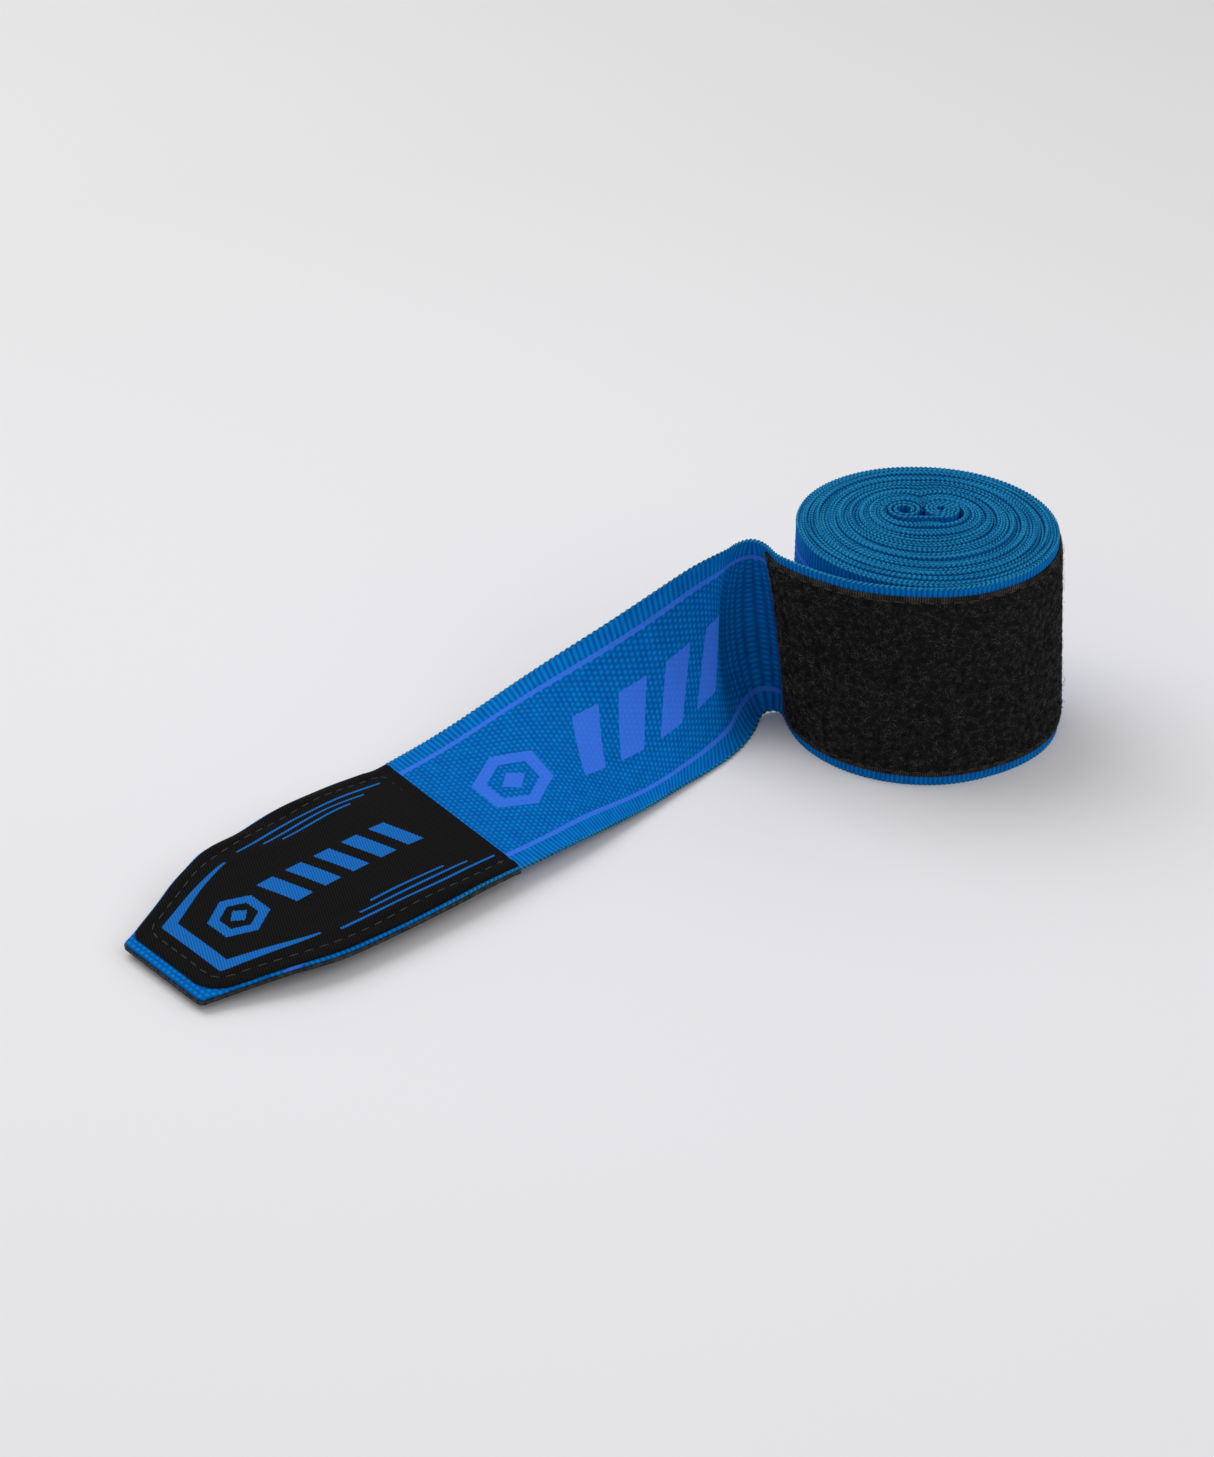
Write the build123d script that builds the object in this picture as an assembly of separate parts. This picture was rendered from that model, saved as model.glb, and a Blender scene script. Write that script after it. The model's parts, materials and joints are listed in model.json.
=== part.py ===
"""A hand wrap: a long woven band, rolled up from its thumb-loop end.

The last stretch of the band leaves the roll, turns at a crease and twists down onto the
table, where it ends in a closure tab: a woven label on top and hook tape underneath.
The hook tape closes on the loop tape that is sewn to the outer face of the last turn.

Millimetres, +Z up. The roll stands on its edge and the free end lies along -X.
Places are first given from the centre of the roll's bottom face; at the end everything
is moved so that the origin is on the table, under the middle of the whole object.
"""
import math
import os

from build123d import *

# ---------------------------------------------------------------- driving dimensions
band_width = 50.0            # woven width of the band
band_thickness = 0.6         # cloth, pressed by the rolling
turn_gap = 0.06              # air between two turns of the roll
roll_radius = 29.3           # outer face of the outermost wound turn
core_space = 6.9             # least radius left inside the wound turns for the folded start
core_clearance = 0.5         # between the innermost turn and the folded start

peel_angle = 231.0           # where the last turn leaves the roll, degrees from +X
peel_step = 0.4              # how far the free stretch stands off the turn below it
body_gap = 0.3               # open joint between stretches of cloth on different bodies

loop_tape_thickness = 1.1    # woven backing and pile together
loop_tape_margin = 2.5       # bare band above and below the loop tape
loop_tape_wrap = 90.0        # degrees of the roll that the loop tape covers

tab_length = 77.5            # closure tab, from the label's inner edge to the band's end
tab_straight = 18.0          # length over which the tab keeps the full band width
tab_end_width = 25.6         # width of the tab at its end
tab_bulge = 3.5              # how far each tapering side bows outwards
tab_corner = 2.0             # rounded corners at the tab's end
tab_skew = 5.6               # the label's inner edge is sewn this many degrees off square
tab_top_height = 4.9         # band's upper face at the label's inner edge, above the table

label_thickness = 0.5
label_inset = 0.5            # band showing beside the label
label_end_inset = 3.0        # band showing beyond the label's end
hook_tape_thickness = 1.3    # woven backing and hooks together
hook_tape_outset = 0.4       # hook tape showing beyond the band's cut edge

thread_diameter = 0.3
stitch_length = 2.2
stitch_pitch = 3.2
label_seam_inset = 3.0       # seam line inside the label's edge
tape_seam_inset = 1.3        # seam line inside the loop tape's edge

thumb_tape_width = 15.0      # narrow tape of the thumb loop
thumb_tape_thickness = 0.8
thumb_loop_length = 7.4      # the loop as it lies, pressed flat, in the core
bartack_stitches = 5
bartack_pitch = 2.4

# Last turn, from the peel line to the crease. Each station is the angle at which its
# lower edge hugs the roll, and how far its upper edge leans outwards there.
turn_stations = [
    (231.0, 0.0),
    (214.0, 0.7),
    (197.0, 2.2),
    (180.0, 3.7),
    (163.5, 5.9),
    (150.0, 8.2),
]

# The crease and the twisting tail are laid out from the foot of the crease, which is the
# end of the last turn's lower edge. Each station is the place of the lower edge, how
# steeply the cloth stands there, the way it leans, both in degrees, and the share of the
# band's width that lies straight across where the cloth is gathered.
crease_stations = [
    ((1.1, 3.9, 0.5), 79.0, 190.8, 1.0),
    ((-0.2, 7.3, 0.9), 80.6, 193.0, 0.985),
    ((-5.3, 6.3, 0.5), 84.7, 146.0, 0.966),
]
tail_stations = [
    ((-5.6, 6.2, 0.5), 84.6, 141.0, 0.964),
    ((-13.3, 2.9, 0.5), 78.3, 71.0, 0.941),
    ((-24.3, 1.0, 0.8), 61.4, 55.8, 0.915),
    ((-34.3, 0.3, 1.4), 42.8, 56.4, 0.91),
    ((-44.3, -0.6, 2.0), 25.2, 62.0, 0.952),
    ((-53.3, -1.3, 2.6), 14.7, 69.0, 0.99),
    ((-62.8, -1.9, 3.3), 7.9, 76.7, 1.0),
    ((-72.3, -2.1, 4.0), 3.4, 82.6, 1.0),
]
tail_swing_foot = (-4.3, 5.1)    # upright line that the tail swings about, at the crease
tab_lower_corner = (-86.3, -1.8)  # lower end of the label's inner edge

# ---------------------------------------------------------------- worked-out values
half_width = band_width / 2
turn_pitch = band_thickness + turn_gap
wound_turns = math.floor((roll_radius - band_thickness - core_space) / turn_pitch)
core_radius = roll_radius - wound_turns * turn_pitch - band_thickness
peel_radius = roll_radius + peel_step
stack_below = band_thickness + hook_tape_thickness
tab_slope = math.asin((tab_top_height - stack_below) / (tab_length + hook_tape_outset))
skew_rise = math.tan(math.radians(tab_skew))
tape_low = loop_tape_margin / band_width
tape_high = 1 - tape_low
tape_height = band_width - 2 * loop_tape_margin
seam_low = (loop_tape_margin + tape_seam_inset) / band_width
seam_high = 1 - seam_low


def polar(radius, degrees, height=0.0):
    """A point from its distance and direction about the roll's axis."""
    turn = math.radians(degrees)
    return Vector(radius * math.cos(turn), radius * math.sin(turn), height)


crease_foot = polar(peel_radius, turn_stations[-1][0])
tab_middle = crease_foot + Vector(*tab_lower_corner) + Vector(
    half_width * skew_rise, half_width, tab_top_height)

# The tab lies in a plane that slopes down to its end: x towards the end, z upwards.
tab_plane = Plane(
    origin=tab_middle,
    x_dir=(-math.cos(tab_slope), 0, -math.sin(tab_slope)),
    z_dir=(-math.sin(tab_slope), 0, math.cos(tab_slope)),
)


# ---------------------------------------------------------------- cloth between two edges
def edge_curve(points):
    """A smooth edge through the points, evenly paced so that neighbours match."""
    steps = [i / (len(points) - 1) for i in range(len(points))]
    return Edge.make_spline(points, parameters=steps)


def between(lower, upper, share):
    """Points at a share of the way from the lower edge to the upper edge."""
    return [a + (b - a) * share for a, b in zip(lower, upper)]


def cloth(lower, upper, thickness, low_share=0.0, high_share=1.0):
    """A strip of cloth on the outer face between two edges.

    A positive thickness lies outside that face, away from the roll and above the tail,
    and a negative one lies inside it.
    """
    low_edge = edge_curve(between(lower, upper, low_share))
    high_edge = edge_curve(between(lower, upper, high_share))
    face = Face.make_surface_from_curves(low_edge, high_edge)
    along = (low_edge % 0.5) + (high_edge % 0.5)
    across = (high_edge @ 0.5) - (low_edge @ 0.5)
    outward = across.cross(along)
    same_way = face.normal_at(face.center()).dot(outward) > 0
    return Solid.thicken(face, thickness if same_way else -thickness)


# ---------------------------------------------------------------- stretches of the band
def turn_edges():
    """Lower and upper edge of the last turn's outer face, peel line first."""
    lower = []
    upper = []
    for angle, lean in turn_stations:
        foot = polar(peel_radius, angle)
        lower.append(foot)
        upper.append(foot + Vector(-lean, 0, math.sqrt(band_width**2 - lean**2)))
    first_step = math.degrees(body_gap / 2 / peel_radius)
    start = polar(peel_radius, peel_angle - first_step)
    lower[0] = start
    upper[0] = start + Vector(0, 0, band_width)
    return lower, upper


def laid_out(stations):
    """Lower and upper edge of a stretch that is given by its stations."""
    lower = []
    upper = []
    for place, tilt, heading, share in stations:
        foot = crease_foot + Vector(*place)
        rise = band_width * share * math.sin(math.radians(tilt))
        reach = band_width * share * math.cos(math.radians(tilt))
        lower.append(foot)
        upper.append(foot + polar(reach, heading, rise))
    return lower, upper


def crease_edges():
    """Edges of the tight bend between the last turn and the tail."""
    turn_ends = [edge[-1] for edge in turn_edges()]
    lower, upper = laid_out(crease_stations)
    for edge, turn_end in zip((lower, upper), turn_ends):
        edge.insert(0, turn_end + (edge[0] - turn_end).normalized() * body_gap)
    return lower, upper


def tail_edges():
    """Edges of the twisting tail, from the crease to the label's inner edge."""
    lower, upper = laid_out(tail_stations)
    for edge, side in ((lower, half_width), (upper, -half_width)):
        corner = Vector(side * skew_rise - body_gap / 2, side, 0)
        edge.append(tab_plane.from_local_coords(corner))
    return lower, upper


# ---------------------------------------------------------------- the roll
def arc_strip(radius, thickness, start, sweep):
    """Flat strip inside an arc about the roll's axis."""
    plane = Plane.XY
    outer = Edge.make_circle(radius, plane, start, start + sweep)
    inner = Edge.make_circle(radius - thickness, plane, start, start + sweep)
    ends = [Edge.make_line(outer @ t, inner @ t) for t in (0, 1)]
    return Face(Wire([outer, inner, *ends]))


def spiral_strip(outer, thickness, pitch, turns):
    """Flat spiral of half circles about two centres, from the outside inwards."""
    outer_run = []
    inner_run = []
    for half_turn in range(2 * turns):
        plane = Plane((-pitch / 2 * (half_turn % 2), 0, 0))
        radius = outer - half_turn * pitch / 2
        start = 180.0 * (half_turn % 2)
        outer_run.append(Edge.make_circle(radius, plane, start, start + 180))
        inner_run.append(Edge.make_circle(radius - thickness, plane, start, start + 180))
    outer_end = Edge.make_line(outer_run[0] @ 0, inner_run[0] @ 0)
    inner_end = Edge.make_line(outer_run[-1] @ 1, inner_run[-1] @ 1)
    return Face(Wire([*outer_run, *inner_run, outer_end, inner_end]))


def band_roll():
    """The wound turns of the band, standing on edge."""
    strip = spiral_strip(roll_radius, band_thickness, turn_pitch, wound_turns)
    return extrude(strip, band_width).rotate(Axis.Z, peel_angle)


def band_start_fold():
    """The start of the band, folded heart-like in the core of the roll."""
    outer = core_radius - core_clearance - band_thickness / 2
    notch_half = band_thickness / 2 + turn_gap
    lobe = (outer - notch_half) / 2
    notch_depth = lobe * 0.8
    with BuildLine() as path:
        CenterArc((0, 0), outer, 180, 180)
        CenterArc((outer - lobe, 0), lobe, 0, 180)
        Line((notch_half, 0), (notch_half, -notch_depth))
        CenterArc((0, -notch_depth), notch_half, 180, 180)
        Line((-notch_half, -notch_depth), (-notch_half, 0))
        CenterArc((-notch_half - lobe, 0), lobe, 0, 150)
    return extrude(trace(path.line, band_thickness), band_width)


def thumb_loop():
    """Narrow tape, doubled into a loop and pressed flat inside the fold."""
    wall = thumb_tape_thickness
    loop_width = 2 * wall + turn_gap
    reach = core_radius - core_clearance - band_thickness - turn_gap - loop_width / 2
    seat = -math.sqrt(reach**2 - (thumb_loop_length / 2 - loop_width / 2) ** 2)
    outline = SlotOverall(thumb_loop_length, loop_width)
    hollow = Rectangle(thumb_loop_length - loop_width, turn_gap)
    foot = (band_width - thumb_tape_width) / 2
    return extrude(outline - hollow, thumb_tape_width).translate((0, seat, foot))


def thumb_loop_bartack():
    """Short dense stitches that hold the thumb loop to the start of the band."""
    loop = thumb_loop().bounding_box()
    beside_notch = -thumb_loop_length / 4
    first = band_width / 2 - (bartack_stitches - 1) / 2 * bartack_pitch
    bars = []
    for i in range(bartack_stitches):
        place = Vector(beside_notch, loop.max.Y, first + i * bartack_pitch)
        bars.append(stitch(place, Vector(1, 0, 0), Vector(0, 1, 0)))
    return bars


# ---------------------------------------------------------------- seams
def stitch(place, along, outward):
    """One thread stitch lying on a face, as a short bar."""
    plane = Plane(origin=place, x_dir=along, z_dir=outward)
    lying = (Align.CENTER, Align.CENTER, Align.MIN)
    return plane * Box(stitch_length, thread_diameter, thread_diameter, align=lying)


def stitch_line(line, outward_at, lift=0.0):
    """Stitches spaced evenly along a line, standing on a face."""
    count = max(1, int(line.length // stitch_pitch))
    bars = []
    for i in range(count):
        share = (i + 0.5) / count
        outward = outward_at(share)
        place = (line @ share) + outward * lift
        bars.append(stitch(place, line % share, outward))
    return bars


# ---------------------------------------------------------------- loop tape
def loop_tape_rear():
    """The half of the loop tape that stays on the roll."""
    radius = roll_radius + loop_tape_thickness
    strip = arc_strip(radius, loop_tape_thickness, peel_angle, loop_tape_wrap)
    return extrude(strip, tape_height).translate((0, 0, loop_tape_margin))


def loop_tape_rear_seam():
    """Thread along the top, bottom and far end of the rear loop tape."""
    radius = roll_radius + loop_tape_thickness
    inset_angle = math.degrees(tape_seam_inset / radius)
    sweep = loop_tape_wrap - inset_angle
    bars = []
    for share in (seam_low, seam_high):
        plane = Plane((0, 0, share * band_width))
        line = Edge.make_circle(radius, plane, peel_angle, peel_angle + sweep)
        bars += stitch_line(line, lambda t: polar(1, peel_angle + t * sweep))
    far = peel_angle + sweep
    ends = [polar(radius, far, share * band_width) for share in (seam_low, seam_high)]
    bars += stitch_line(Edge.make_line(*ends), lambda t: polar(1, far))
    return bars


def loop_tape_front():
    """The half of the loop tape on the free last turn."""
    lower, upper = turn_edges()
    return cloth(lower, upper, loop_tape_thickness, tape_low, tape_high)


def loop_tape_front_seam():
    """Thread along the top and bottom of the front loop tape."""
    lower, upper = turn_edges()
    bars = []
    for share in (seam_low, seam_high):
        line = edge_curve(between(lower, upper, share))
        above = edge_curve(between(lower, upper, share + 0.05))

        def outward_at(t):
            return ((above @ t) - (line @ t)).cross(line % t).normalized()

        bars += stitch_line(line, outward_at, loop_tape_thickness)
    return bars


# ---------------------------------------------------------------- closure tab
def tab_face(side_grow, end_grow):
    """Outline of one layer of the tab: full width, then tapering to a blunt end."""
    side = half_width + side_grow
    end = Vector(tab_length + end_grow, tab_end_width / 2 + side_grow)
    shoulder = Vector(tab_straight, side)
    chord = end - shoulder
    bow = Vector(-chord.Y, chord.X).normalized() * tab_bulge
    start = body_gap / 2
    with BuildSketch() as sketch:
        with BuildLine():
            for flip in (1, -1):
                corner = Vector(start + flip * side * skew_rise, flip * side)
                bend = Vector(shoulder.X, flip * side)
                middle = (shoulder + end) / 2 + bow
                Line(corner, bend)
                ThreePointArc(bend, (middle.X, flip * middle.Y), (end.X, flip * end.Y))
            Line((end.X, end.Y), (end.X, -end.Y))
            Line(
                (start + side * skew_rise, side),
                (start - side * skew_rise, -side),
            )
        make_face()
        blunt = sketch.vertices().sort_by(Axis.X)[-2:]
        fillet(blunt, tab_corner)
    return sketch.sketch


def tab_layer(side_grow, end_grow, low, high):
    """A layer of the tab between two heights above the band's upper face."""
    flat = extrude(tab_face(side_grow, end_grow), high - low)
    return tab_plane * Pos(0, 0, low) * flat


def label_seam():
    """Thread all round the label, inside its edge."""
    inset = label_inset + label_seam_inset
    outline = tab_face(-inset, -label_end_inset - label_seam_inset)
    inner = outline.edges().sort_by(Axis.X)[0]
    bars = []
    for edge in outline.edges():
        line = edge
        if edge.center() == inner.center():
            line = edge.translate((label_seam_inset, 0, 0))
        bars += stitch_line(line, lambda t: Vector(0, 0, 1), label_thickness)
    return [tab_plane * bar for bar in bars]


# ---------------------------------------------------------------- the whole wrap
nodes = {
    "band_roll": band_roll(),
    "band_start_fold": band_start_fold(),
    "thumb_loop": thumb_loop(),
    "thumb_loop_bartack": Compound(thumb_loop_bartack()),
    "loop_tape_rear": loop_tape_rear(),
    "loop_tape_rear_seam": Compound(loop_tape_rear_seam()),
    "band_last_turn": cloth(*turn_edges(), -band_thickness),
    "loop_tape_front": loop_tape_front(),
    "loop_tape_front_seam": Compound(loop_tape_front_seam()),
    "band_crease": cloth(*crease_edges(), -band_thickness),
    "band_tail": cloth(*tail_edges(), -band_thickness),
    "band_tip": tab_layer(0, 0, -band_thickness, 0),
    "closure_label": tab_layer(-label_inset, -label_end_inset, 0, label_thickness),
    "label_seam": Compound(label_seam()),
    "hook_tape": tab_layer(hook_tape_outset, hook_tape_outset, -stack_below, -band_thickness),
}

box = Compound(list(nodes.values())).bounding_box()
to_origin = Vector(-box.center().X, -box.center().Y, 0)

os.makedirs("parts", exist_ok=True)
for name, shape in nodes.items():
    export_step(shape.translate(to_origin), f"parts/{name}.step")

joint_places = {
    "last_turn_peel": polar(roll_radius + peel_step + loop_tape_thickness, peel_angle),
    "tail_swing": crease_foot + Vector(*tail_swing_foot),
    "tab_lift": tab_plane.from_local_coords(Vector(0, 0, label_thickness)),
}
for name, place in joint_places.items():
    spot = place + to_origin
    print(f"{name}: {spot.X:.2f}, {spot.Y:.2f}, {spot.Z:.2f}")
print(f"roll axis: {to_origin.X:.2f}, {to_origin.Y:.2f}")
print(f"lowest point {box.min.Z:.3f}, size {box.size}")
mean_turn = 2 * math.pi * (roll_radius - band_thickness / 2 - wound_turns * turn_pitch / 2)
print(f"band wound on the roll: {wound_turns * mean_turn:.0f} in {wound_turns} turns")
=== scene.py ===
# %% [markdown]
# # A rolled hand wrap
# One woven band, taken to be four metres long, is wound up on edge from its thumb loop.
# Its last turn carries loop tape, leaves the roll, turns at a crease and twists down to
# lie flat, and its end is a closure tab with a woven label above and hook tape below.
# The imported model holds every size, so the first step loads it; the band's width, the
# thumb loop's size and the joints are read from it, and the other sizes are given here.
# Lengths here are millimetres, and become metres only where a mesh is made.

import json
import math

import bmesh
import bpy
import numpy as np
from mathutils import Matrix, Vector


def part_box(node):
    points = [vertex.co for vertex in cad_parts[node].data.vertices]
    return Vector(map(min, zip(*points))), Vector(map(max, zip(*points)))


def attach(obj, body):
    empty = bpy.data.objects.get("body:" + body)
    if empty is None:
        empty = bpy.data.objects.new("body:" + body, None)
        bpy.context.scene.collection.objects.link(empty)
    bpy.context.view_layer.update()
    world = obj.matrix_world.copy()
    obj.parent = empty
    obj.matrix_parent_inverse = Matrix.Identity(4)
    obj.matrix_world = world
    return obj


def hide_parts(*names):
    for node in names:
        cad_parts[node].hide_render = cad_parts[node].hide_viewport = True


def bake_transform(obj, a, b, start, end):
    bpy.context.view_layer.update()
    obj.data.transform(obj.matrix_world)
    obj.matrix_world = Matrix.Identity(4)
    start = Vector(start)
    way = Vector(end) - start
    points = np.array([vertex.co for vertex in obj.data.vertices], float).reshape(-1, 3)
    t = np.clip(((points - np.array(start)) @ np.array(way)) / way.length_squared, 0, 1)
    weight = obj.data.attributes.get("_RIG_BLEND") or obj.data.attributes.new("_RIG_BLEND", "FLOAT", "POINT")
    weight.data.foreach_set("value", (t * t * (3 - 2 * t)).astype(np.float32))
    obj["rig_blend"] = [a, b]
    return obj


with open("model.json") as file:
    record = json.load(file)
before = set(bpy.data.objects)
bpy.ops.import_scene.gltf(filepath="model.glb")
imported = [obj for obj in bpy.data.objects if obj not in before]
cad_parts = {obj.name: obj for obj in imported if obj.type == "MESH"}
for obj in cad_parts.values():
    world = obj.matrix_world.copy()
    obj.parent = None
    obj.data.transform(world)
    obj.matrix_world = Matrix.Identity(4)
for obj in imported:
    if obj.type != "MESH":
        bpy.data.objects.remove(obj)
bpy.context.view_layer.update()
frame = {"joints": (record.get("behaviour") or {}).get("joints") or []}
MM = 0.001
joints = {joint["name"]: joint for joint in frame["joints"]}


def joint_place(name):
    """Where a joint turns, in millimetres."""
    return np.array(joints[name]["pos_m"]) / MM


def node_size(name):
    """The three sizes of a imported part, in millimetres."""
    low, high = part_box(name)
    return (np.array(high) - np.array(low)) / MM


# %% [markdown]
# ## Measures
# The band is 50 mm wide, and the roll stands on its lower edge, so the imported roll gives
# the band's width; the roll's radius is given here. The peel joint stands on the loop tape's
# face at 231 degrees, so stepping back from it by the tape's radius finds the roll's axis.
# Places on the free end are given from that axis, as they are in the imported part's source.

# %% Measures of the band and the roll
band_width = round(float(node_size("band_roll")[2]), 2)
band_thickness = 0.6
roll_radius = 29.3
core_radius = 6.9
loop_tape_thickness = 1.1
peel_step = 0.4
peel_angle = 231.0
pick_pitch = 1.1          # from one crosswise yarn to the next
yarn_pitch = 0.75         # from one lengthwise yarn to the next
row_step = pick_pitch / 2
far_heading = 46.0        # the fold in the core opens towards this direction


def polar(radius, degrees, height=0.0):
    """A point from its distance and direction about the roll's axis."""
    turn = math.radians(degrees)
    return np.array([radius * math.cos(turn), radius * math.sin(turn), height])


loop_face_radius = roll_radius + peel_step + loop_tape_thickness
roll_axis = joint_place("last_turn_peel") - polar(loop_face_radius, peel_angle)
roll_axis[2] = 0.0
print("band width", band_width, "roll axis", roll_axis.round(2))

# %% [markdown]
# ## Studio
# A product shot needs very little: a pale floor that runs out of the picture, a big soft
# light above and behind, a weaker one in front, and an even surround. A portrait lens
# from over half a metre away keeps the roll's top an open ellipse. The floor's colour is
# painted a shade brighter round the object, a painted pool of light as under a real softbox.

# %% Formulas in node trees
def calculate(tree, operation, *values):
    """One Math node, fed with numbers or with other formulas."""
    node = tree.nodes.new("ShaderNodeMath")
    node.operation = operation
    for slot, value in zip(node.inputs, values):
        if isinstance(value, Formula):
            tree.links.new(value.socket, slot)
        else:
            slot.default_value = value
    return Formula(tree, node.outputs[0])


class Formula:
    """A number inside a node tree, so that a tree can be written as arithmetic."""

    def __init__(self, tree, socket):
        self.tree = tree
        self.socket = socket

    def __add__(self, other):
        return calculate(self.tree, "ADD", self, other)

    def __sub__(self, other):
        return calculate(self.tree, "SUBTRACT", self, other)

    def __rsub__(self, other):
        return calculate(self.tree, "SUBTRACT", other, self)

    def __mul__(self, other):
        return calculate(self.tree, "MULTIPLY", self, other)

    def __truediv__(self, other):
        return calculate(self.tree, "DIVIDE", self, other)

    __radd__ = __add__
    __rmul__ = __mul__

    def sin(self):
        return calculate(self.tree, "SINE", self)

    def cos(self):
        return calculate(self.tree, "COSINE", self)

    def sqrt(self):
        return calculate(self.tree, "SQRT", self)

    def size(self):
        return calculate(self.tree, "ABSOLUTE", self)

    def bell(self):
        """1 at zero, falling away on both sides."""
        return calculate(self.tree, "EXPONENT", self * self * -1.0)

    def fade(self):
        """1 at zero, falling to nothing as the number grows."""
        return calculate(self.tree, "EXPONENT", self * -1.0)

    def above(self, other):
        return calculate(self.tree, "GREATER_THAN", self, other)

    def below(self, other):
        return calculate(self.tree, "LESS_THAN", self, other)

    def within(self, low, high):
        return self.above(low) * self.below(high)

    def wrapped(self, period):
        return calculate(self.tree, "FLOORED_MODULO", self, period)

    def most(self, other):
        return calculate(self.tree, "MAXIMUM", self, other)

    def ramp(self, low, high):
        """0 up to low and 1 from high on."""
        share = (self - low) / (high - low)
        share.socket.node.use_clamp = True
        return share


def noise(tree, vector, scale, detail=2.0, dimensions="3D", roughness=0.5):
    """A noise texture's value, about 0 to 1."""
    node = tree.nodes.new("ShaderNodeTexNoise")
    node.noise_dimensions = dimensions
    slot = node.inputs["W"] if dimensions == "1D" else node.inputs["Vector"]
    tree.links.new(vector.socket if isinstance(vector, Formula) else vector, slot)
    node.inputs["Scale"].default_value = scale
    node.inputs["Detail"].default_value = detail
    node.inputs["Roughness"].default_value = roughness
    return Formula(tree, node.outputs[0])


# %% Materials are written as formulas too
class Finish:
    """A material under construction, with the patterns that cloth is made of."""

    def __init__(self, name, roughness, sheen=0.0, specular=0.3):
        self.material = bpy.data.materials.new(name)
        self.material.use_nodes = True
        self.tree = self.material.node_tree
        self.shader = self.tree.nodes["Principled BSDF"]
        self.shader.inputs["Roughness"].default_value = roughness
        self.shader.inputs["Sheen Weight"].default_value = sheen
        self.shader.inputs["Sheen Roughness"].default_value = 0.4
        self.shader.inputs["Specular IOR Level"].default_value = specular

    def attribute(self, name):
        """A number that the mesh carries on each of its points."""
        node = self.tree.nodes.new("ShaderNodeAttribute")
        node.attribute_name = name
        return Formula(self.tree, node.outputs["Fac"])

    def place(self):
        """Object coordinates, in metres."""
        return self.tree.nodes.new("ShaderNodeTexCoord").outputs["Object"]

    def vector(self, x, y, z=0.0):
        node = self.tree.nodes.new("ShaderNodeCombineXYZ")
        for slot, value in zip(node.inputs, (x, y, z)):
            if isinstance(value, Formula):
                self.tree.links.new(value.socket, slot)
            else:
                slot.default_value = value
        return node.outputs[0]

    def mix(self, share, first, second):
        """A colour between two, each a tuple or a socket."""
        node = self.tree.nodes.new("ShaderNodeMix")
        node.data_type = "RGBA"
        self.tree.links.new(share.socket, node.inputs["Factor"])
        for slot, value in ((node.inputs[6], first), (node.inputs[7], second)):
            if isinstance(value, tuple):
                slot.default_value = (*value, 1)
            else:
                self.tree.links.new(value, slot)
        return node.outputs[2]

    def colour(self, socket):
        self.tree.links.new(socket, self.shader.inputs["Base Color"])

    def bump(self, height, distance_mm, strength=1.0):
        node = self.tree.nodes.new("ShaderNodeBump")
        node.inputs["Strength"].default_value = strength
        node.inputs["Distance"].default_value = distance_mm * MM
        self.tree.links.new(height.socket, node.inputs["Height"])
        self.tree.links.new(node.outputs[0], self.shader.inputs["Normal"])


# %% Floor, lights and camera
scene = bpy.context.scene
scene.view_settings.view_transform = "Standard"


def studio_paper():
    """Pale grey paper, with a painted pool of light that brightens it near the middle."""
    finish = Finish("studio_paper", roughness=0.9, specular=0.1)
    node = finish.tree.nodes.new("ShaderNodeVectorMath")
    node.operation = "LENGTH"
    finish.tree.links.new(finish.place(), node.inputs[0])
    distance = Formula(finish.tree, node.outputs["Value"])
    # near is a painted pool of light round the object; away is the paper's own grey.
    near, away = (0.60, 0.597, 0.618), (0.56, 0.56, 0.563)
    finish.colour(finish.mix(distance.ramp(0.10, 0.42), near, away))
    return finish.material


def make_floor(half_side):
    """A square floor at the height that the object stands on."""
    mesh = bpy.data.meshes.new("studio_floor")
    corners = [(-1, -1), (1, -1), (1, 1), (-1, 1)]
    mesh.from_pydata([(x * half_side, y * half_side, 0) for x, y in corners], [], [(0, 1, 2, 3)])
    mesh.materials.append(studio_paper())
    floor = bpy.data.objects.new("studio_floor", mesh)
    scene.collection.objects.link(floor)


def make_light(name, place, target, size, watts):
    """A square soft light that faces the target."""
    data = bpy.data.lights.new(name, "AREA")
    data.size = size
    data.energy = watts
    light = bpy.data.objects.new(name, data)
    scene.collection.objects.link(light)
    light.location = place
    aim = Vector(target) - Vector(place)
    light.rotation_euler = aim.to_track_quat("-Z", "Y").to_euler()


def make_camera(target, heading, pitch, distance, lens):
    """A camera that looks at the target along a heading, tipped down by the pitch."""
    data = bpy.data.cameras.new("camera")
    data.lens = lens
    camera = bpy.data.objects.new("camera", data)
    scene.collection.objects.link(camera)
    level = math.cos(pitch)
    look = Vector((level * math.cos(heading), level * math.sin(heading), -math.sin(pitch)))
    camera.location = Vector(target) - look * distance
    camera.rotation_euler = look.to_track_quat("-Z", "Y").to_euler()
    scene.camera = camera


make_floor(4.0)
make_camera(
    target=(0.0235, 0.0288, 0.0),
    heading=math.radians(46.0),
    pitch=math.radians(32.21),
    distance=0.58,
    lens=61.8,
)
middle = (0, 0, 0.02)
make_light("back_softbox", (-0.15, 0.75, 1.15), middle, 1.1, 12)
make_light("front_fill", (0.3, -0.9, 0.9), middle, 1.0, 4.5)
world = bpy.data.worlds.new("studio_air")
scene.world = world
world.use_nodes = True
world.node_tree.nodes["Background"].inputs["Color"].default_value = (1, 1, 1, 1)
world.node_tree.nodes["Background"].inputs["Strength"].default_value = 0.75

# %% [markdown]
# ## Cloth as a grid
# Every stretch of cloth here is a thin shell: a grid on its outer face, a grid on its
# inner face and a rounded edge along each side. Rows follow the crosswise yarns and
# columns the lengthwise ones, two to a yarn, so the weave can be raised out of the same
# grid. Each point also carries its distance along and across the cloth in millimetres,
# and the weave, the print and the stitches are all laid out on those two numbers.

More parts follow.
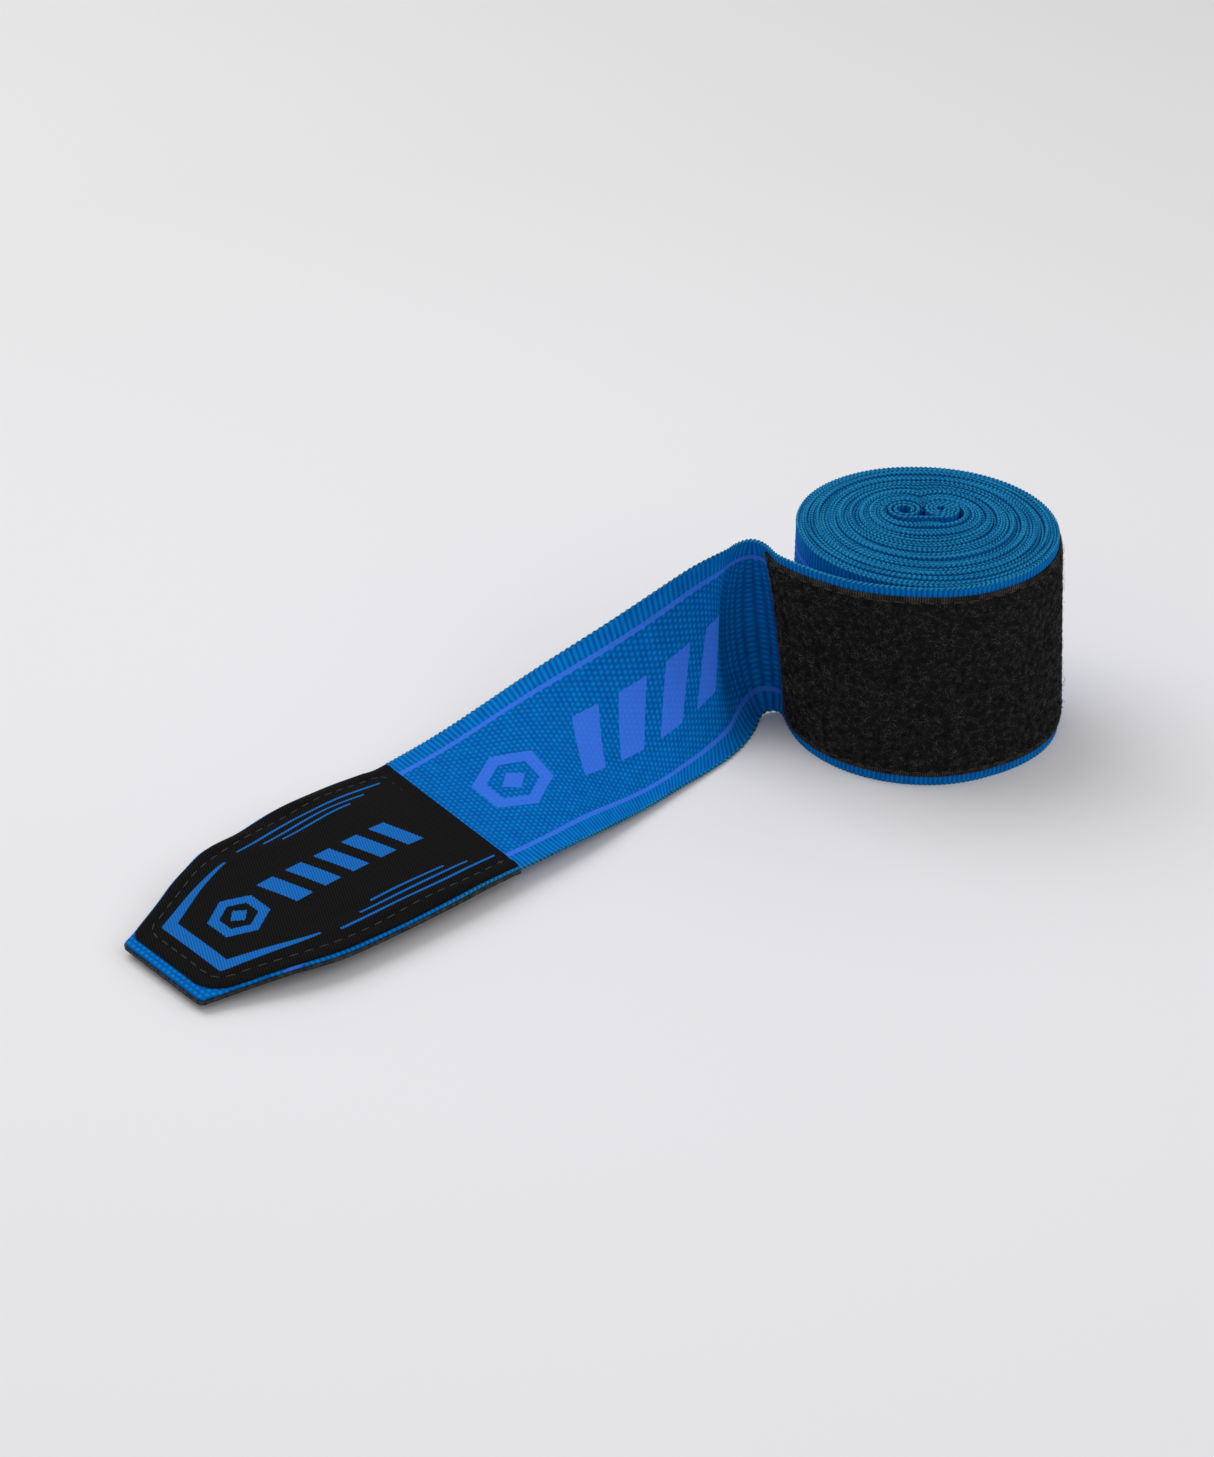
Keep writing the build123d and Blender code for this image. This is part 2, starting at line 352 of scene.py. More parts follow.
# %% A shell of cloth from its outer face
def grid_normals(points):
    """Outward directions of a grid of points, from its rows and its columns."""
    along = np.gradient(points, axis=0)
    across = np.gradient(points, axis=1)
    normals = np.cross(across, along)
    return normals / np.linalg.norm(normals, axis=2, keepdims=True)


def with_number(piece, name, values):
    """Stores a number on every point of a piece."""
    stored = piece.data.attributes
    attribute = stored.get(name) or stored.new(name, "FLOAT", "POINT")
    attribute.data.foreach_set("value", np.ascontiguousarray(values, np.float32).ravel())
    return piece


def shell(name, outer, outer_across, inner, inner_across, along, thickness, edge=0.1):
    """A closed shell of cloth. The outer and inner faces may have different columns."""
    rows = len(along)
    out_normals = grid_normals(outer)
    in_normals = grid_normals(inner)
    back = inner - in_normals * thickness
    sideways = outer[:, -1] - outer[:, -2]
    sideways /= np.linalg.norm(sideways, axis=1, keepdims=True)
    high_rim = outer[:, -1] - out_normals[:, -1] * thickness / 2 + sideways * edge
    sideways = outer[:, 0] - outer[:, 1]
    sideways /= np.linalg.norm(sideways, axis=1, keepdims=True)
    low_rim = outer[:, 0] - out_normals[:, 0] * thickness / 2 + sideways * edge
    ring = np.concatenate(
        [outer, high_rim[:, None], back[:, ::-1], low_rim[:, None]], axis=1
    )
    high = np.atleast_2d(outer_across)[:, -1:]
    low = np.atleast_2d(outer_across)[:, :1]
    across = np.concatenate(
        [np.atleast_2d(outer_across), high, np.atleast_2d(inner_across)[:, ::-1], low], axis=1
    )
    across = np.broadcast_to(across, ring.shape[:2])
    within = np.repeat([0.0, 0.5, 1.0, 0.5], [outer.shape[1], 1, inner.shape[1], 1])
    piece = ring_mesh(name, ring, np.broadcast_to(along[:, None], ring.shape[:2]), across)
    return with_number(piece, "within", np.broadcast_to(within, ring.shape[:2]))


def ring_mesh(name, ring, along, across):
    """A tube of rings with open ends, as a piece in metres."""
    rows, count = ring.shape[:2]
    first = np.arange(rows * count).reshape(rows, count)
    beside = np.roll(first, -1, axis=1)
    quads = np.stack([first[:-1], beside[:-1], beside[1:], first[1:]], axis=-1).reshape(-1, 4)
    mesh = bpy.data.meshes.new(name)
    mesh.from_pydata((ring.reshape(-1, 3) * MM).tolist(), [], quads.tolist())
    mesh.shade_smooth()
    piece = bpy.data.objects.new(name, mesh)
    scene.collection.objects.link(piece)
    with_number(piece, "along", along)
    return with_number(piece, "across", across)


def close_ends(piece):
    """Closes the two open ends with flat faces that keep their edges crisp."""
    mesh = bmesh.new()
    mesh.from_mesh(piece.data)
    open_edges = [edge for edge in mesh.edges if edge.is_boundary]
    for edge in open_edges:
        edge.smooth = False
    bmesh.ops.holes_fill(mesh, edges=open_edges, sides=0)
    bmesh.ops.recalc_face_normals(mesh, faces=mesh.faces)
    mesh.to_mesh(piece.data)
    mesh.free()
    return piece


# %% [markdown]
# ## A geometry recipe
# What repeats, or follows one rule, is left to Geometry Nodes. A recipe here is a node
# tree with named sizes. Running it sets those sizes on a modifier, evaluates the object
# once and keeps the result as a plain mesh, so nothing live is left in the scene.

# %% Recipes: building and running node trees
class Recipe:
    """A Geometry Nodes tree with named sizes."""

    def __init__(self, name, **sizes):
        self.name = name
        self.tree = bpy.data.node_groups.new(name, "GeometryNodeTree")
        sockets = self.tree.interface
        sockets.new_socket("Geometry", in_out="INPUT", socket_type="NodeSocketGeometry")
        sockets.new_socket("Geometry", in_out="OUTPUT", socket_type="NodeSocketGeometry")
        self.identifiers = {}
        for label, value in sizes.items():
            kind = "NodeSocketInt" if isinstance(value, int) else "NodeSocketFloat"
            socket = sockets.new_socket(label, in_out="INPUT", socket_type=kind)
            socket.default_value = value
            self.identifiers[label] = socket.identifier
        self.start = self.tree.nodes.new("NodeGroupInput")
        self.geometry = self.start.outputs["Geometry"]

    def size(self, label):
        return Formula(self.tree, self.start.outputs[label])

    def node(self, kind, properties=None, **inputs):
        """A node with its properties and its inputs set; names use _ for a space."""
        node = self.tree.nodes.new(kind)
        for label, value in (properties or {}).items():
            setattr(node, label, value)
        for label, value in inputs.items():
            slot = node.inputs[label.replace("_", " ")]
            if isinstance(value, Formula):
                self.tree.links.new(value.socket, slot)
            elif isinstance(value, bpy.types.NodeSocket):
                self.tree.links.new(value, slot)
            else:
                slot.default_value = value
        return node

    def attribute(self, name):
        node = self.node("GeometryNodeInputNamedAttribute", {"data_type": "FLOAT"}, Name=name)
        return Formula(self.tree, node.outputs["Attribute"])

    def random(self, low, high, seed):
        """A number picked for each point."""
        node = self.tree.nodes.new("FunctionNodeRandomValue")
        node.data_type = "FLOAT"
        node.inputs[2].default_value = low
        node.inputs[3].default_value = high
        if isinstance(seed, Formula):
            self.tree.links.new(seed.socket, node.inputs["Seed"])
        else:
            node.inputs["Seed"].default_value = seed
        return Formula(self.tree, node.outputs[1])

    def vector(self, x, y, z):
        return self.node("ShaderNodeCombineXYZ", X=x, Y=y, Z=z).outputs[0]

    def finish(self, geometry, material):
        realized = self.node("GeometryNodeRealizeInstances", Geometry=geometry).outputs[0]
        smooth = self.node("GeometryNodeSetShadeSmooth", Geometry=realized).outputs[0]
        painted = self.node("GeometryNodeSetMaterial", Geometry=smooth, Material=material)
        end = self.tree.nodes.new("NodeGroupOutput")
        self.tree.links.new(painted.outputs[0], end.inputs["Geometry"])
        return self


def run(recipe, base, name, **sizes):
    """Runs a recipe on a base object, and returns the result as a plain mesh piece."""
    modifier = base.modifiers.new(recipe.name, "NODES")
    modifier.node_group = recipe.tree
    for label, value in sizes.items():
        modifier[recipe.identifiers[label]] = value
    bpy.context.view_layer.update()
    depsgraph = bpy.context.evaluated_depsgraph_get()
    mesh = bpy.data.meshes.new_from_object(base.evaluated_get(depsgraph), depsgraph=depsgraph)
    bpy.data.objects.remove(base)
    piece = bpy.data.objects.new(name, mesh)
    scene.collection.objects.link(piece)
    mesh.name = name
    triangles = sum(len(polygon.vertices) - 2 for polygon in mesh.polygons)
    print(name, "triangles", triangles)
    return piece


# %% [markdown]
# ## The band's path
# The free end is one smooth path of stations. Each station has a lower and an upper edge
# point: round the roll they are upright, at the crease they bunch together, and along
# the tail they lie down until the label's inner edge. A natural cubic spline, paced by
# distance, runs through them, and rows are then taken every half crosswise yarn.

# %% Stations of the free end, from the roll to the label
turn_lean = [(262, 0), (246, 0), (231, 0), (222, 0.3), (214, 0.7), (205, 1.4), (197, 2.2),
             (188, 3.0), (180, 3.7), (171, 4.8), (163.5, 5.9), (156, 7.2), (150, 8.2)]
crease_stations = [
    ((2.6, 4.3, 0.3), 79.0, 183.6, 0.998),
    ((3.4, 7.6, 0.6), 78.4, 185.8, 0.992),
    ((1.2, 8.9, 0.8), 80.4, 185.0, 0.978),
    ((-1.8, 8.1, 0.7), 82.8, 167.6, 0.966),
    ((-4.9, 6.4, 0.5), 83.3, 132.8, 0.955),
]
tail_stations = [
    ((-13.3, 2.9, 0.5), 77.8, 71.7, 0.939),
    ((-24.3, 1.0, 0.8), 61.4, 55.8, 0.915),
    ((-34.3, 0.3, 1.4), 42.8, 56.4, 0.91),
    ((-44.3, -0.6, 2.0), 25.2, 62.0, 0.952),
    ((-53.3, -1.3, 2.6), 14.7, 69.0, 0.99),
    ((-62.8, -1.9, 3.3), 7.9, 76.7, 1.0),
    ((-72.3, -2.1, 4.0), 3.4, 82.6, 1.0),
]
tab_skew = math.tan(math.radians(5.6))
tab_slope = math.radians(2.2)
label_thickness = 0.5
tab_middle = joint_place("tab_lift") - roll_axis - np.array([0, 0, label_thickness])
tab_forward = np.array([-math.cos(tab_slope), 0, -math.sin(tab_slope)])
tab_sideways = np.array([0.0, -1.0, 0.0])
tab_up = np.array([-math.sin(tab_slope), 0, math.cos(tab_slope)])
half_width = band_width / 2


def on_tab(x, y, z):
    """Points of the tab: x towards its end, y towards the lower edge, z upwards."""
    return (tab_middle + np.multiply.outer(x, tab_forward)
            + np.multiply.outer(y, tab_sideways) + np.multiply.outer(z, tab_up))


def free_end_stations():
    """Lower edge, upper edge and straight share of every station."""
    stations = []
    for angle, lean in turn_lean:
        step = peel_step * min(1.0, max(0.0, (262 - angle) / 31))
        foot = polar(roll_radius + step, angle)
        top = foot + np.array([-lean, 0, math.sqrt(band_width**2 - lean**2)])
        stations.append((foot, top, 1.0))
    crease_foot = stations[-1][0]
    for place, tilt, heading, share in crease_stations + tail_stations:
        foot = crease_foot + np.array(place)
        rise = band_width * share * math.sin(math.radians(tilt))
        reach = band_width * share * math.cos(math.radians(tilt))
        stations.append((foot, foot + polar(reach, heading, rise), share))
    edge = [on_tab(side * tab_skew, side, 0.0) for side in (half_width, -half_width)]
    stations.append((*edge, 1.0))
    return stations


# %% A smooth path through the stations, in rows
def natural_spline(knots, values, places):
    """A natural cubic spline through the values, read at the places."""
    steps = np.diff(knots)
    slopes = np.diff(values, axis=0) / steps[:, None]
    count = len(knots)
    system = np.eye(count)
    right = np.zeros_like(values)
    for i in range(1, count - 1):
        system[i, i - 1:i + 2] = steps[i - 1], 2 * (steps[i - 1] + steps[i]), steps[i]
        right[i] = 6 * (slopes[i] - slopes[i - 1])
    bend = np.linalg.solve(system, right)
    i = np.clip(np.searchsorted(knots, places) - 1, 0, count - 2)
    step = steps[i][:, None]
    a = ((knots[i + 1] - places)[:, None]) / step
    b = 1 - a
    curve = a * values[i] + b * values[i + 1]
    return curve + ((a**3 - a) * bend[i] + (b**3 - b) * bend[i + 1]) * step**2 / 6


stations = free_end_stations()
lower_points = np.array([station[0] for station in stations])
upper_points = np.array([station[1] for station in stations])
middle_points = (lower_points + upper_points) / 2
knots = np.concatenate([[0], np.cumsum(np.linalg.norm(np.diff(middle_points, axis=0), axis=1))])
pleat = range(len(turn_lean), len(turn_lean) + len(crease_stations))
sag = np.array([
    [band_width * (0.95 if i in pleat else 0.7) * math.sqrt(0.375 * (1 - station[2]))]
    for i, station in enumerate(stations)
])
everything = np.hstack([lower_points, upper_points, sag])
fine = natural_spline(knots, everything, np.linspace(0, knots[-1], 4000))
fine_middle = (fine[:, :3] + fine[:, 3:6]) / 2
distance = np.concatenate([[0], np.cumsum(np.linalg.norm(np.diff(fine_middle, axis=0), axis=1))])
free_rows = round(distance[-1] / row_step)
row_places = np.linspace(0, distance[-1], free_rows + 1)
free_path = np.stack([np.interp(row_places, distance, column) for column in fine.T], axis=1)
free_along = (free_rows - np.arange(free_rows + 1)) * row_step


def row_of_station(index):
    """The row of the free end that is nearest to a station."""
    fine_index = knots[index] / knots[-1] * 3999
    return int(round(np.interp(fine_index, np.arange(4000), distance) / distance[-1] * free_rows))


crease_row = row_of_station(len(turn_lean) - 1)
tape_row = row_of_station(len(turn_lean))
tail_row = row_of_station(len(turn_lean) + len(crease_stations) - 1)
fold_row = free_rows - round(6.0 / row_step)
print("free end", round(distance[-1], 1), "mm in", free_rows, "rows")
print("crease row", crease_row, "tail row", tail_row)

# %% [markdown]
# ## Band cloth
# The band is a coarse plain weave, bright blue, with fine crosswise ribs along both
# edges. The print lies on it in a more violet blue: a pinstripe near each edge, a plain
# hexagon and a row of slanted bars. The real print could be painted on an image, but as
# formulas on the two cloth distances it stays sharp at any size. The selvedges are
# knitted with a paler thread, which is what colours the top of the roll.

# %% Band cloth material
blue_cloth = (0.0, 0.135, 0.46)
blue_shadow = (0.0, 0.045, 0.20)
blue_light = (0.0, 0.21, 0.60)
print_blue = (0.035, 0.13, 0.60)
selvedge_dark = (0.0, 0.05, 0.17)
selvedge_light = (0.012, 0.20, 0.38)
bar_slant = 0.28


def hexagon_ring(x, y, radius, width):
    """A ring with six straight sides, and a dot in its middle."""
    reach = x.size().most(x.size() * 0.5 + y.size() * 0.866)
    dot = (x.size() + y.size()).below(radius * 0.38)
    return reach.within(radius - width, radius).most(dot)


def slanted_bars(x, y, count, pitch, width, height):
    """A row of slanted bars that starts at x = 0 and is centred on y = 0."""
    leaning = x - y * bar_slant
    inside = leaning.within(0, count * pitch)
    return inside * leaning.wrapped(pitch).below(width) * y.size().below(height / 2)


def band_print(along, across):
    """Where the band is printed."""
    from_edge = (across - half_width).size() * -1.0 + half_width
    stripes = from_edge.within(4.6, 5.9)
    printed = stripes
    for start in (0.0, 250.0):
        x = along - start
        y = across - half_width
        printed = printed.most(hexagon_ring(x - 18.0, y, 8.5, 3.0))
        printed = printed.most(slanted_bars(x - 36.5, y, 4, 11.0, 6.4, 17.0))
    return printed


def band_cloth():
    """The woven band's material."""
    finish = Finish("band_cloth", roughness=0.9, sheen=0.0, specular=0.04)
    along = finish.attribute("along")
    across = finish.attribute("across")
    from_edge = (across - half_width).size() * -1.0 + half_width
    picks = (along * (math.pi / pick_pitch)).sin()
    yarns = (across * (math.pi / yarn_pitch)).sin()
    woven = from_edge.ramp(4.0, 5.5)
    chequer = picks * yarns * 0.6 + picks.size() * 1.1 - 0.65
    crossing = woven * chequer + (1.0 - woven) * (picks.size() * 1.6 - 0.8)
    cloth_place = finish.vector(along, across)
    mottle = noise(finish.tree, cloth_place, 0.35, 4.0)
    strands = noise(finish.tree, finish.vector(along * 6.0, across * 1.5), 1.6, 3.0)
    # Painted shade and highlight: the weave's gaps are painted darker (blue_shadow) and its highest
    # crossings lighter (blue_light); mottle and strands are the yarn's own tone.
    shade = (crossing * 0.42 + 0.5 + (mottle - 0.5) * 0.5 + (strands - 0.5) * 0.5).ramp(0.0, 1.0)
    body = finish.mix(shade, blue_shadow, blue_cloth)
    body = finish.mix((shade - 0.62) * 1.3, body, blue_light)
    printed = band_print(along, across) * (0.82 + (strands - 0.5) * 0.8)
    body = finish.mix(printed.ramp(0.0, 1.0), body, print_blue)
    within = finish.attribute("within")
    knitted = noise(finish.tree, finish.vector(along * 1.2, across * 3.0), 1.5, 3.0)
    lean = (along / 185.0).wrapped(2.0).above(1.0) * 2.0 - 1.0
    knots = ((along / 1.15 + within * lean * 0.6) * (2 * math.pi)).sin()
    selvedge = finish.mix((knitted + knots * 0.22).ramp(0.25, 0.75), selvedge_dark, selvedge_light)
    body = finish.mix(from_edge.below(0.32), body, selvedge)
    finish.colour(body)
    fine_strands = noise(finish.tree, finish.vector(along * 3.0, across * 12.0), 1.2, 2.0)
    height = crossing * 0.5 + fine_strands * 0.5 - printed * 0.15
    finish.bump(height, 0.12, 0.7)
    return finish.material


band_material = band_cloth()

# %% [markdown]
# ## The weave recipe
# A real plain weave rises where a lengthwise yarn passes over a crosswise one. The
# product of two sine waves has exactly that chequered rise and fall, so the recipe moves
# every point along its normal by it. Near the edges the chequer gives way to ribs, and
# the rim itself is drawn out into a small loop at each crosswise yarn, which gives the
# band its serrated outline.

# %% The weave recipe
def weave_recipe(material):
    """Raises the weave and the selvedge loops out of a plain shell of band."""
    recipe = Recipe("weave", depth=0.1, loops=0.16)
    along = recipe.attribute("along")
    across = recipe.attribute("across")
    from_edge = (across - half_width).size() * -1.0 + half_width
    picks = (along * (math.pi / pick_pitch)).sin()
    yarns = (across * (math.pi / yarn_pitch)).sin()
    woven = from_edge.ramp(4.0, 5.5)
    at_rim = from_edge.below(0.02)
    chequer = picks * yarns * 0.55 + picks.size() * 0.9 - 0.45
    rise = woven * chequer + (1.0 - woven) * (picks.size() - 0.5)
    lift = rise * recipe.size("depth") + at_rim * picks.size() * recipe.size("loops")
    normal = recipe.node("GeometryNodeInputNormal").outputs[0]
    scaled = recipe.node("ShaderNodeVectorMath", {"operation": "SCALE"}, Scale=lift * MM)
    recipe.tree.links.new(normal, scaled.inputs[0])
    offset = scaled.outputs[0]
    moved = recipe.node("GeometryNodeSetPosition", Geometry=recipe.geometry, Offset=offset)
    return recipe.finish(moved.outputs[0], material)


weave = weave_recipe(band_material)

# %% [markdown]
# ## Last turn, crease and tail
# These are one cloth, cut into pieces only where the body that it follows changes. The
# last turn bends across the peel line, the crease across the swing line, and a short
# fold next to the label across the tab's lifting line. Between them the tail is stiff
# enough to ride as it is. The cloth sags between its edges where the stations say that
# it is gathered, and a slow ripple keeps it from looking drawn with a ruler.

# %% Free end pieces
columns = np.arange(0, band_width + 0.01, yarn_pitch / 2)
columns = columns * band_width / columns[-1]


def with_outward(path):
    """The path's rows with the direction that the cloth faces added to each."""
    upwards = path[:, 3:6] - path[:, :3]
    onwards = np.gradient(path[:, :3] + path[:, 3:6], axis=0)
    outward = np.cross(upwards, onwards)
    return np.hstack([path, outward / np.linalg.norm(outward, axis=1, keepdims=True)])


def path_face(path, across, lift=0.0, ripple=0.0):
    """Outer face of a path of rows, at some columns, lifted off it by a distance."""
    share = np.atleast_2d(across)[..., None] / band_width
    low, high, hollow, outward = np.split(path[:, None], [3, 6, 7], axis=2)
    sag = 4 * share**0.8 * (1 - share**0.8) * hollow
    face = low + (high - low) * share + outward * (lift + ripple - sag)
    reach = np.linalg.norm(face[..., :2], axis=2)
    heading = np.arctan2(face[..., 1], face[..., 0])
    from_side = (heading - flare_heading + np.pi) % (2 * np.pi) - np.pi
    flare = flare_size * np.exp(-((from_side / flare_spread) ** 2)) * (1 - face[..., 2] / band_width)
    face[..., :2] *= (1 + flare * reach / roll_radius**2)[..., None]
    return face + roll_axis


flare_size = 4.4
flare_heading = math.radians(-44)
flare_spread = 0.8
free_rows_out = with_outward(free_path)


def slow_ripple(rows, across):
    """A gentle unevenness of the tail, which dies out towards both of its ends."""
    along = free_along[rows][:, None]
    from_tab = np.clip((along - 4) / 30, 0, 1)
    from_crease = np.clip((free_along[crease_row] - 14 - along) / 20, 0, 1)
    wave = 0.35 * np.sin(along / 9.0) * np.sin(3.0 * across[None] / band_width + 0.6)
    return (wave * from_tab * from_crease)[..., None]


def free_piece(name, first, last):
    """One woven stretch of the free end."""
    rows = np.arange(first, last + 1)
    face = path_face(free_rows_out[rows], columns, ripple=slow_ripple(rows, columns))
    base = shell(name + "_plain", face, columns, face, columns, free_along[rows], band_thickness)
    return close_ends(run(weave, base, name))


last_turn_band = free_piece("last_turn_band", 0, crease_row)
crease_band = free_piece("crease_band", crease_row, tail_row)
tail_band = free_piece("tail_band", tail_row, fold_row)
tab_fold_band = free_piece("tab_fold_band", fold_row, free_rows)

# %% [markdown]
# ## Winding the roll
# The wound part of the band is drawn as 33 turns, nearly four metres of cloth, which is
# what thin cloth would need to fill the roll. It could be a
# spiral curve with a profile, but then the weave and the print would not know how far
# along the cloth they are. So the band is woven flat and straight first, and a second
# recipe winds it up by one rule: the further along a point lies, the further round it
# goes and the closer it comes to the axis. The same rule moves the core a little off
# centre, presses a notch into it from the far side, flattens its near side over the
# thumb loop, and lets some stretches of cloth stand proud, which makes the paler rings.

# %% The winding recipe
wound_turns = 33
turn_pitch = 0.66
wound_thickness = 0.5
wound_start = 262.0
shrink = turn_pitch / (2 * math.pi)
first_radius = roll_radius
wound_angle = 2 * math.pi * wound_turns
wound_length = first_radius * wound_angle - shrink * wound_angle**2 / 2
core_shift = 4.0


def winding_recipe(material):
    """Winds a flat, straight stretch of band into the spiral roll."""
    recipe = Recipe(
        "winding",
        start_angle=math.radians(wound_start),
        outer_radius=first_radius,
        shrink=shrink,
        core_shift=core_shift,
        notch_depth=5.6,
        near_press=3.6,
        oval=1.8,
        flare=flare_size,
        proud=0.5,
        dome=1.0,
        bunching=0.13,
        turns_in_bunch=4.0,
    )
    place = recipe.node("GeometryNodeInputPosition").outputs[0]
    parts = recipe.node("ShaderNodeSeparateXYZ", Vector=place)
    run_along, through, height = (Formula(recipe.tree, parts.outputs[i]) / MM for i in range(3))
    outer, rate = recipe.size("outer_radius"), recipe.size("shrink")
    turned = (outer - (outer * outer - run_along * rate * 2.0).sqrt()) / rate
    radius = outer - turned * rate
    angle = recipe.size("start_angle") + turned
    far = math.radians(far_heading)
    from_far = (angle - far + math.pi).wrapped(2 * math.pi) - math.pi
    from_near = (angle - far).wrapped(2 * math.pi) - math.pi
    depth_in = (first_radius - radius) / (first_radius - core_radius)
    from_core = radius - core_radius
    notch = (from_far.size() / 0.34).fade() * (from_core / 7.0).fade() * recipe.size("notch_depth")
    top = ((height - half_width) / 10.0).size().ramp(0.9, 1.9)
    press = (from_near / 1.1).bell() * (from_core / 6.0).fade() * recipe.size("near_press") * top
    wobble = noise(recipe.tree, turned * 0.45 + 3.7, 1.0, 1.0, "1D") - 0.5
    drift = noise(recipe.tree, turned * 0.05 + 5.1, 1.0, 1.0, "1D") * 2.5
    bunch = (turned / recipe.size("turns_in_bunch") + drift).sin()
    settled = depth_in.ramp(0.02, 0.2)
    from_side = (angle - flare_heading + math.pi).wrapped(2 * math.pi) - math.pi
    flare = (from_side / flare_spread).bell() * (1.0 - height / band_width) * recipe.size("flare")
    flare = flare * radius * radius / roll_radius**2
    oval = (from_far.sin() * from_far.sin()) * (from_core / 9.0).fade() * recipe.size("oval")
    loose = (wobble * 0.3 + bunch * recipe.size("bunching")) * settled
    reach = radius + through - notch - press + oval + flare + loose
    shift = recipe.size("core_shift") * depth_in
    lengthwise = noise(recipe.tree, turned * 0.17 + 11.3, 1.0, 2.0, "1D") - 0.5
    inner = depth_in.ramp(0.0, 0.06)
    taller = inner * (lengthwise * recipe.size("proud") * 2.0 + depth_in * recipe.size("dome"))
    taller = taller + (turned / recipe.size("turns_in_bunch") + drift + 1.2).sin() * settled * 0.3
    taller = taller - notch * 0.25
    x = reach * angle.cos() + shift * math.cos(far) + float(roll_axis[0])
    y = reach * angle.sin() + shift * math.sin(far) + float(roll_axis[1])
    z = height * (1.0 + taller / band_width)
    moved = recipe.node(
        "GeometryNodeSetPosition",
        Geometry=recipe.geometry,
        Position=recipe.vector(x * MM, y * MM, z * MM),
    )
    return recipe.finish(moved.outputs[0], material)


winding = winding_recipe(band_material)
print("wound length", round(wound_length), "mm")

# %% [markdown]
# The outermost turn is seen from behind, so it gets every column. The turns inside it
# only ever show their edges, so their faces are coarse and their edges are fine.

# %% Wound pieces of the band
edge_columns = np.array([0, 0.3, 0.7, 1.3, 2.4, 4.5])
hidden_columns = np.concatenate([edge_columns, [half_width], band_width - edge_columns[::-1]])
first_along = free_along[0]


def wound_piece(name, start, end, outer_columns):
    """The band from one distance to another, woven flat and then wound."""
    rows = np.arange(round(start / row_step), round(end / row_step) + 1) * row_step

    def flat_face(across):
        face = np.zeros((len(rows), len(across), 3))
        face[..., 0] = rows[:, None]
        face[..., 2] = across
        return face

    base = shell(
        name + "_plain",
        flat_face(outer_columns),
        outer_columns,
        flat_face(hidden_columns),
        hidden_columns,
        first_along + rows,
        wound_thickness,
    )
    woven = run(weave, base, name + "_flat")
    return close_ends(run(winding, woven, name))


def length_of_turns(turns):
    """How much band the outer turns take."""
    angle = 2 * math.pi * turns
    return first_radius * angle - shrink * angle**2 / 2


split = length_of_turns(13.5)
outer_length = length_of_turns(1.03)
outer_turn_band = wound_piece("outer_turn_band", 0, outer_length, columns)
middle_turns_band = wound_piece("middle_turns_band", outer_length, split, hidden_columns)
inner_turns_band = wound_piece("inner_turns_band", split, wound_length, hidden_columns)

# %% [markdown]
# ## The folded core
# The band was started by folding it round the thumb loop, so the core is not a spiral:
# it is two curls that lie side by side like the lobes of a heart. One strip makes both.
# It unwinds from the left curl, runs along their near side and winds into the right one.
# The directions here are those of a person who looks along the open end of the fold:
# x to the right and y away.

# %% Core curls
def in_core(x, y, z):
    """A point of the core, from its place to the right of and beyond the core's centre."""
    far = math.radians(far_heading)
    right = np.array([math.sin(far), -math.cos(far), 0.0])
    away = np.array([math.cos(far), math.sin(far), 0.0])
    return (roll_axis + np.multiply.outer(x, right)
            + np.multiply.outer(y + core_shift, away) + np.multiply.outer(z, [0.0, 0.0, 1.0]))


def curl_line(centre, radii, turns, end_first):
    """A flat spiral that turns leftwards; it ends, or starts, at its lowest point."""
    count = int(turns * 48)
    turn = np.linspace(-turns, 0, count) if end_first else np.linspace(0, turns, count)
    angle = 2 * math.pi * turn - math.pi / 2
    radius = np.linspace(*radii, count)
    x = centre[0] + radius * np.cos(angle)
    y = centre[1] + radius * np.sin(angle)
    return np.stack([x, y], axis=1)


def evenly(line, step):
    """The same line with its points a step apart."""
    gaps = np.linalg.norm(np.diff(line, axis=0), axis=1)
    run_of = np.concatenate([[0], np.cumsum(gaps)])
    places = np.linspace(0, run_of[-1], round(run_of[-1] / step) + 1)
    return np.stack([np.interp(places, run_of, column) for column in line.T], axis=1)


left_curl = curl_line((-4.3, 1.0), (1.3, 3.6), 1.9, True)
right_curl = curl_line((3.8, 1.1), (3.7, 0.7), 3.3, False)
core_line = evenly(np.concatenate([left_curl, right_curl]), row_step)
core_rise = 1.0 + 1.35 / band_width


def standing_face(line, heights):
    """The face of a strip of cloth that stands on a line in the core."""
    columns_of = [in_core(line[:, 0], line[:, 1], np.full(len(line), z)) for z in heights]
    return np.stack(columns_of, axis=1)


core_face = standing_face(core_line, hidden_columns * core_rise)
core_along = first_along + wound_length + np.arange(len(core_line)) * row_step
core_base = shell("core_plain", core_face, hidden_columns, core_face, hidden_columns,
                  core_along, wound_thickness)
core_fold_band = close_ends(run(weave, core_base, "core_fold_band"))

# %% [markdown]
# ## Thumb loop
# The wearer hooks a thumb through a loop of narrow tape at the band's start. Rolled up,
# it lies pressed flat between the curls and the first full turn, at the middle of the
# band's width, so it can't be seen, but it is what gives the core its shape. It is a
# flattened ring of tape, and a zigzag of thread, a bar tack, fastens it to the band.

# %% Thumb loop and its bar tack
thumb_size = node_size("thumb_loop")
thumb_half = 3.7
thumb_round = 0.83
thumb_seat = -4.1
thumb_step = 0.4
thumb_low = (band_width - thumb_size[2]) / 2


def thumb_tape():
    """The narrow tape's material, finer than the band's."""
    finish = Finish("thumb_tape", roughness=0.85, sheen=0.1, specular=0.15)
    along, across = finish.attribute("along"), finish.attribute("across")
    crossing = (along * 7.0).sin() * (across * 7.0).sin()
    # The weave's gaps are painted darker with blue_shadow, a painted shade.
    finish.colour(finish.mix(crossing * 0.4 + 0.5, blue_shadow, blue_cloth))
    finish.bump(crossing, 0.1, 0.8)
    return finish.material


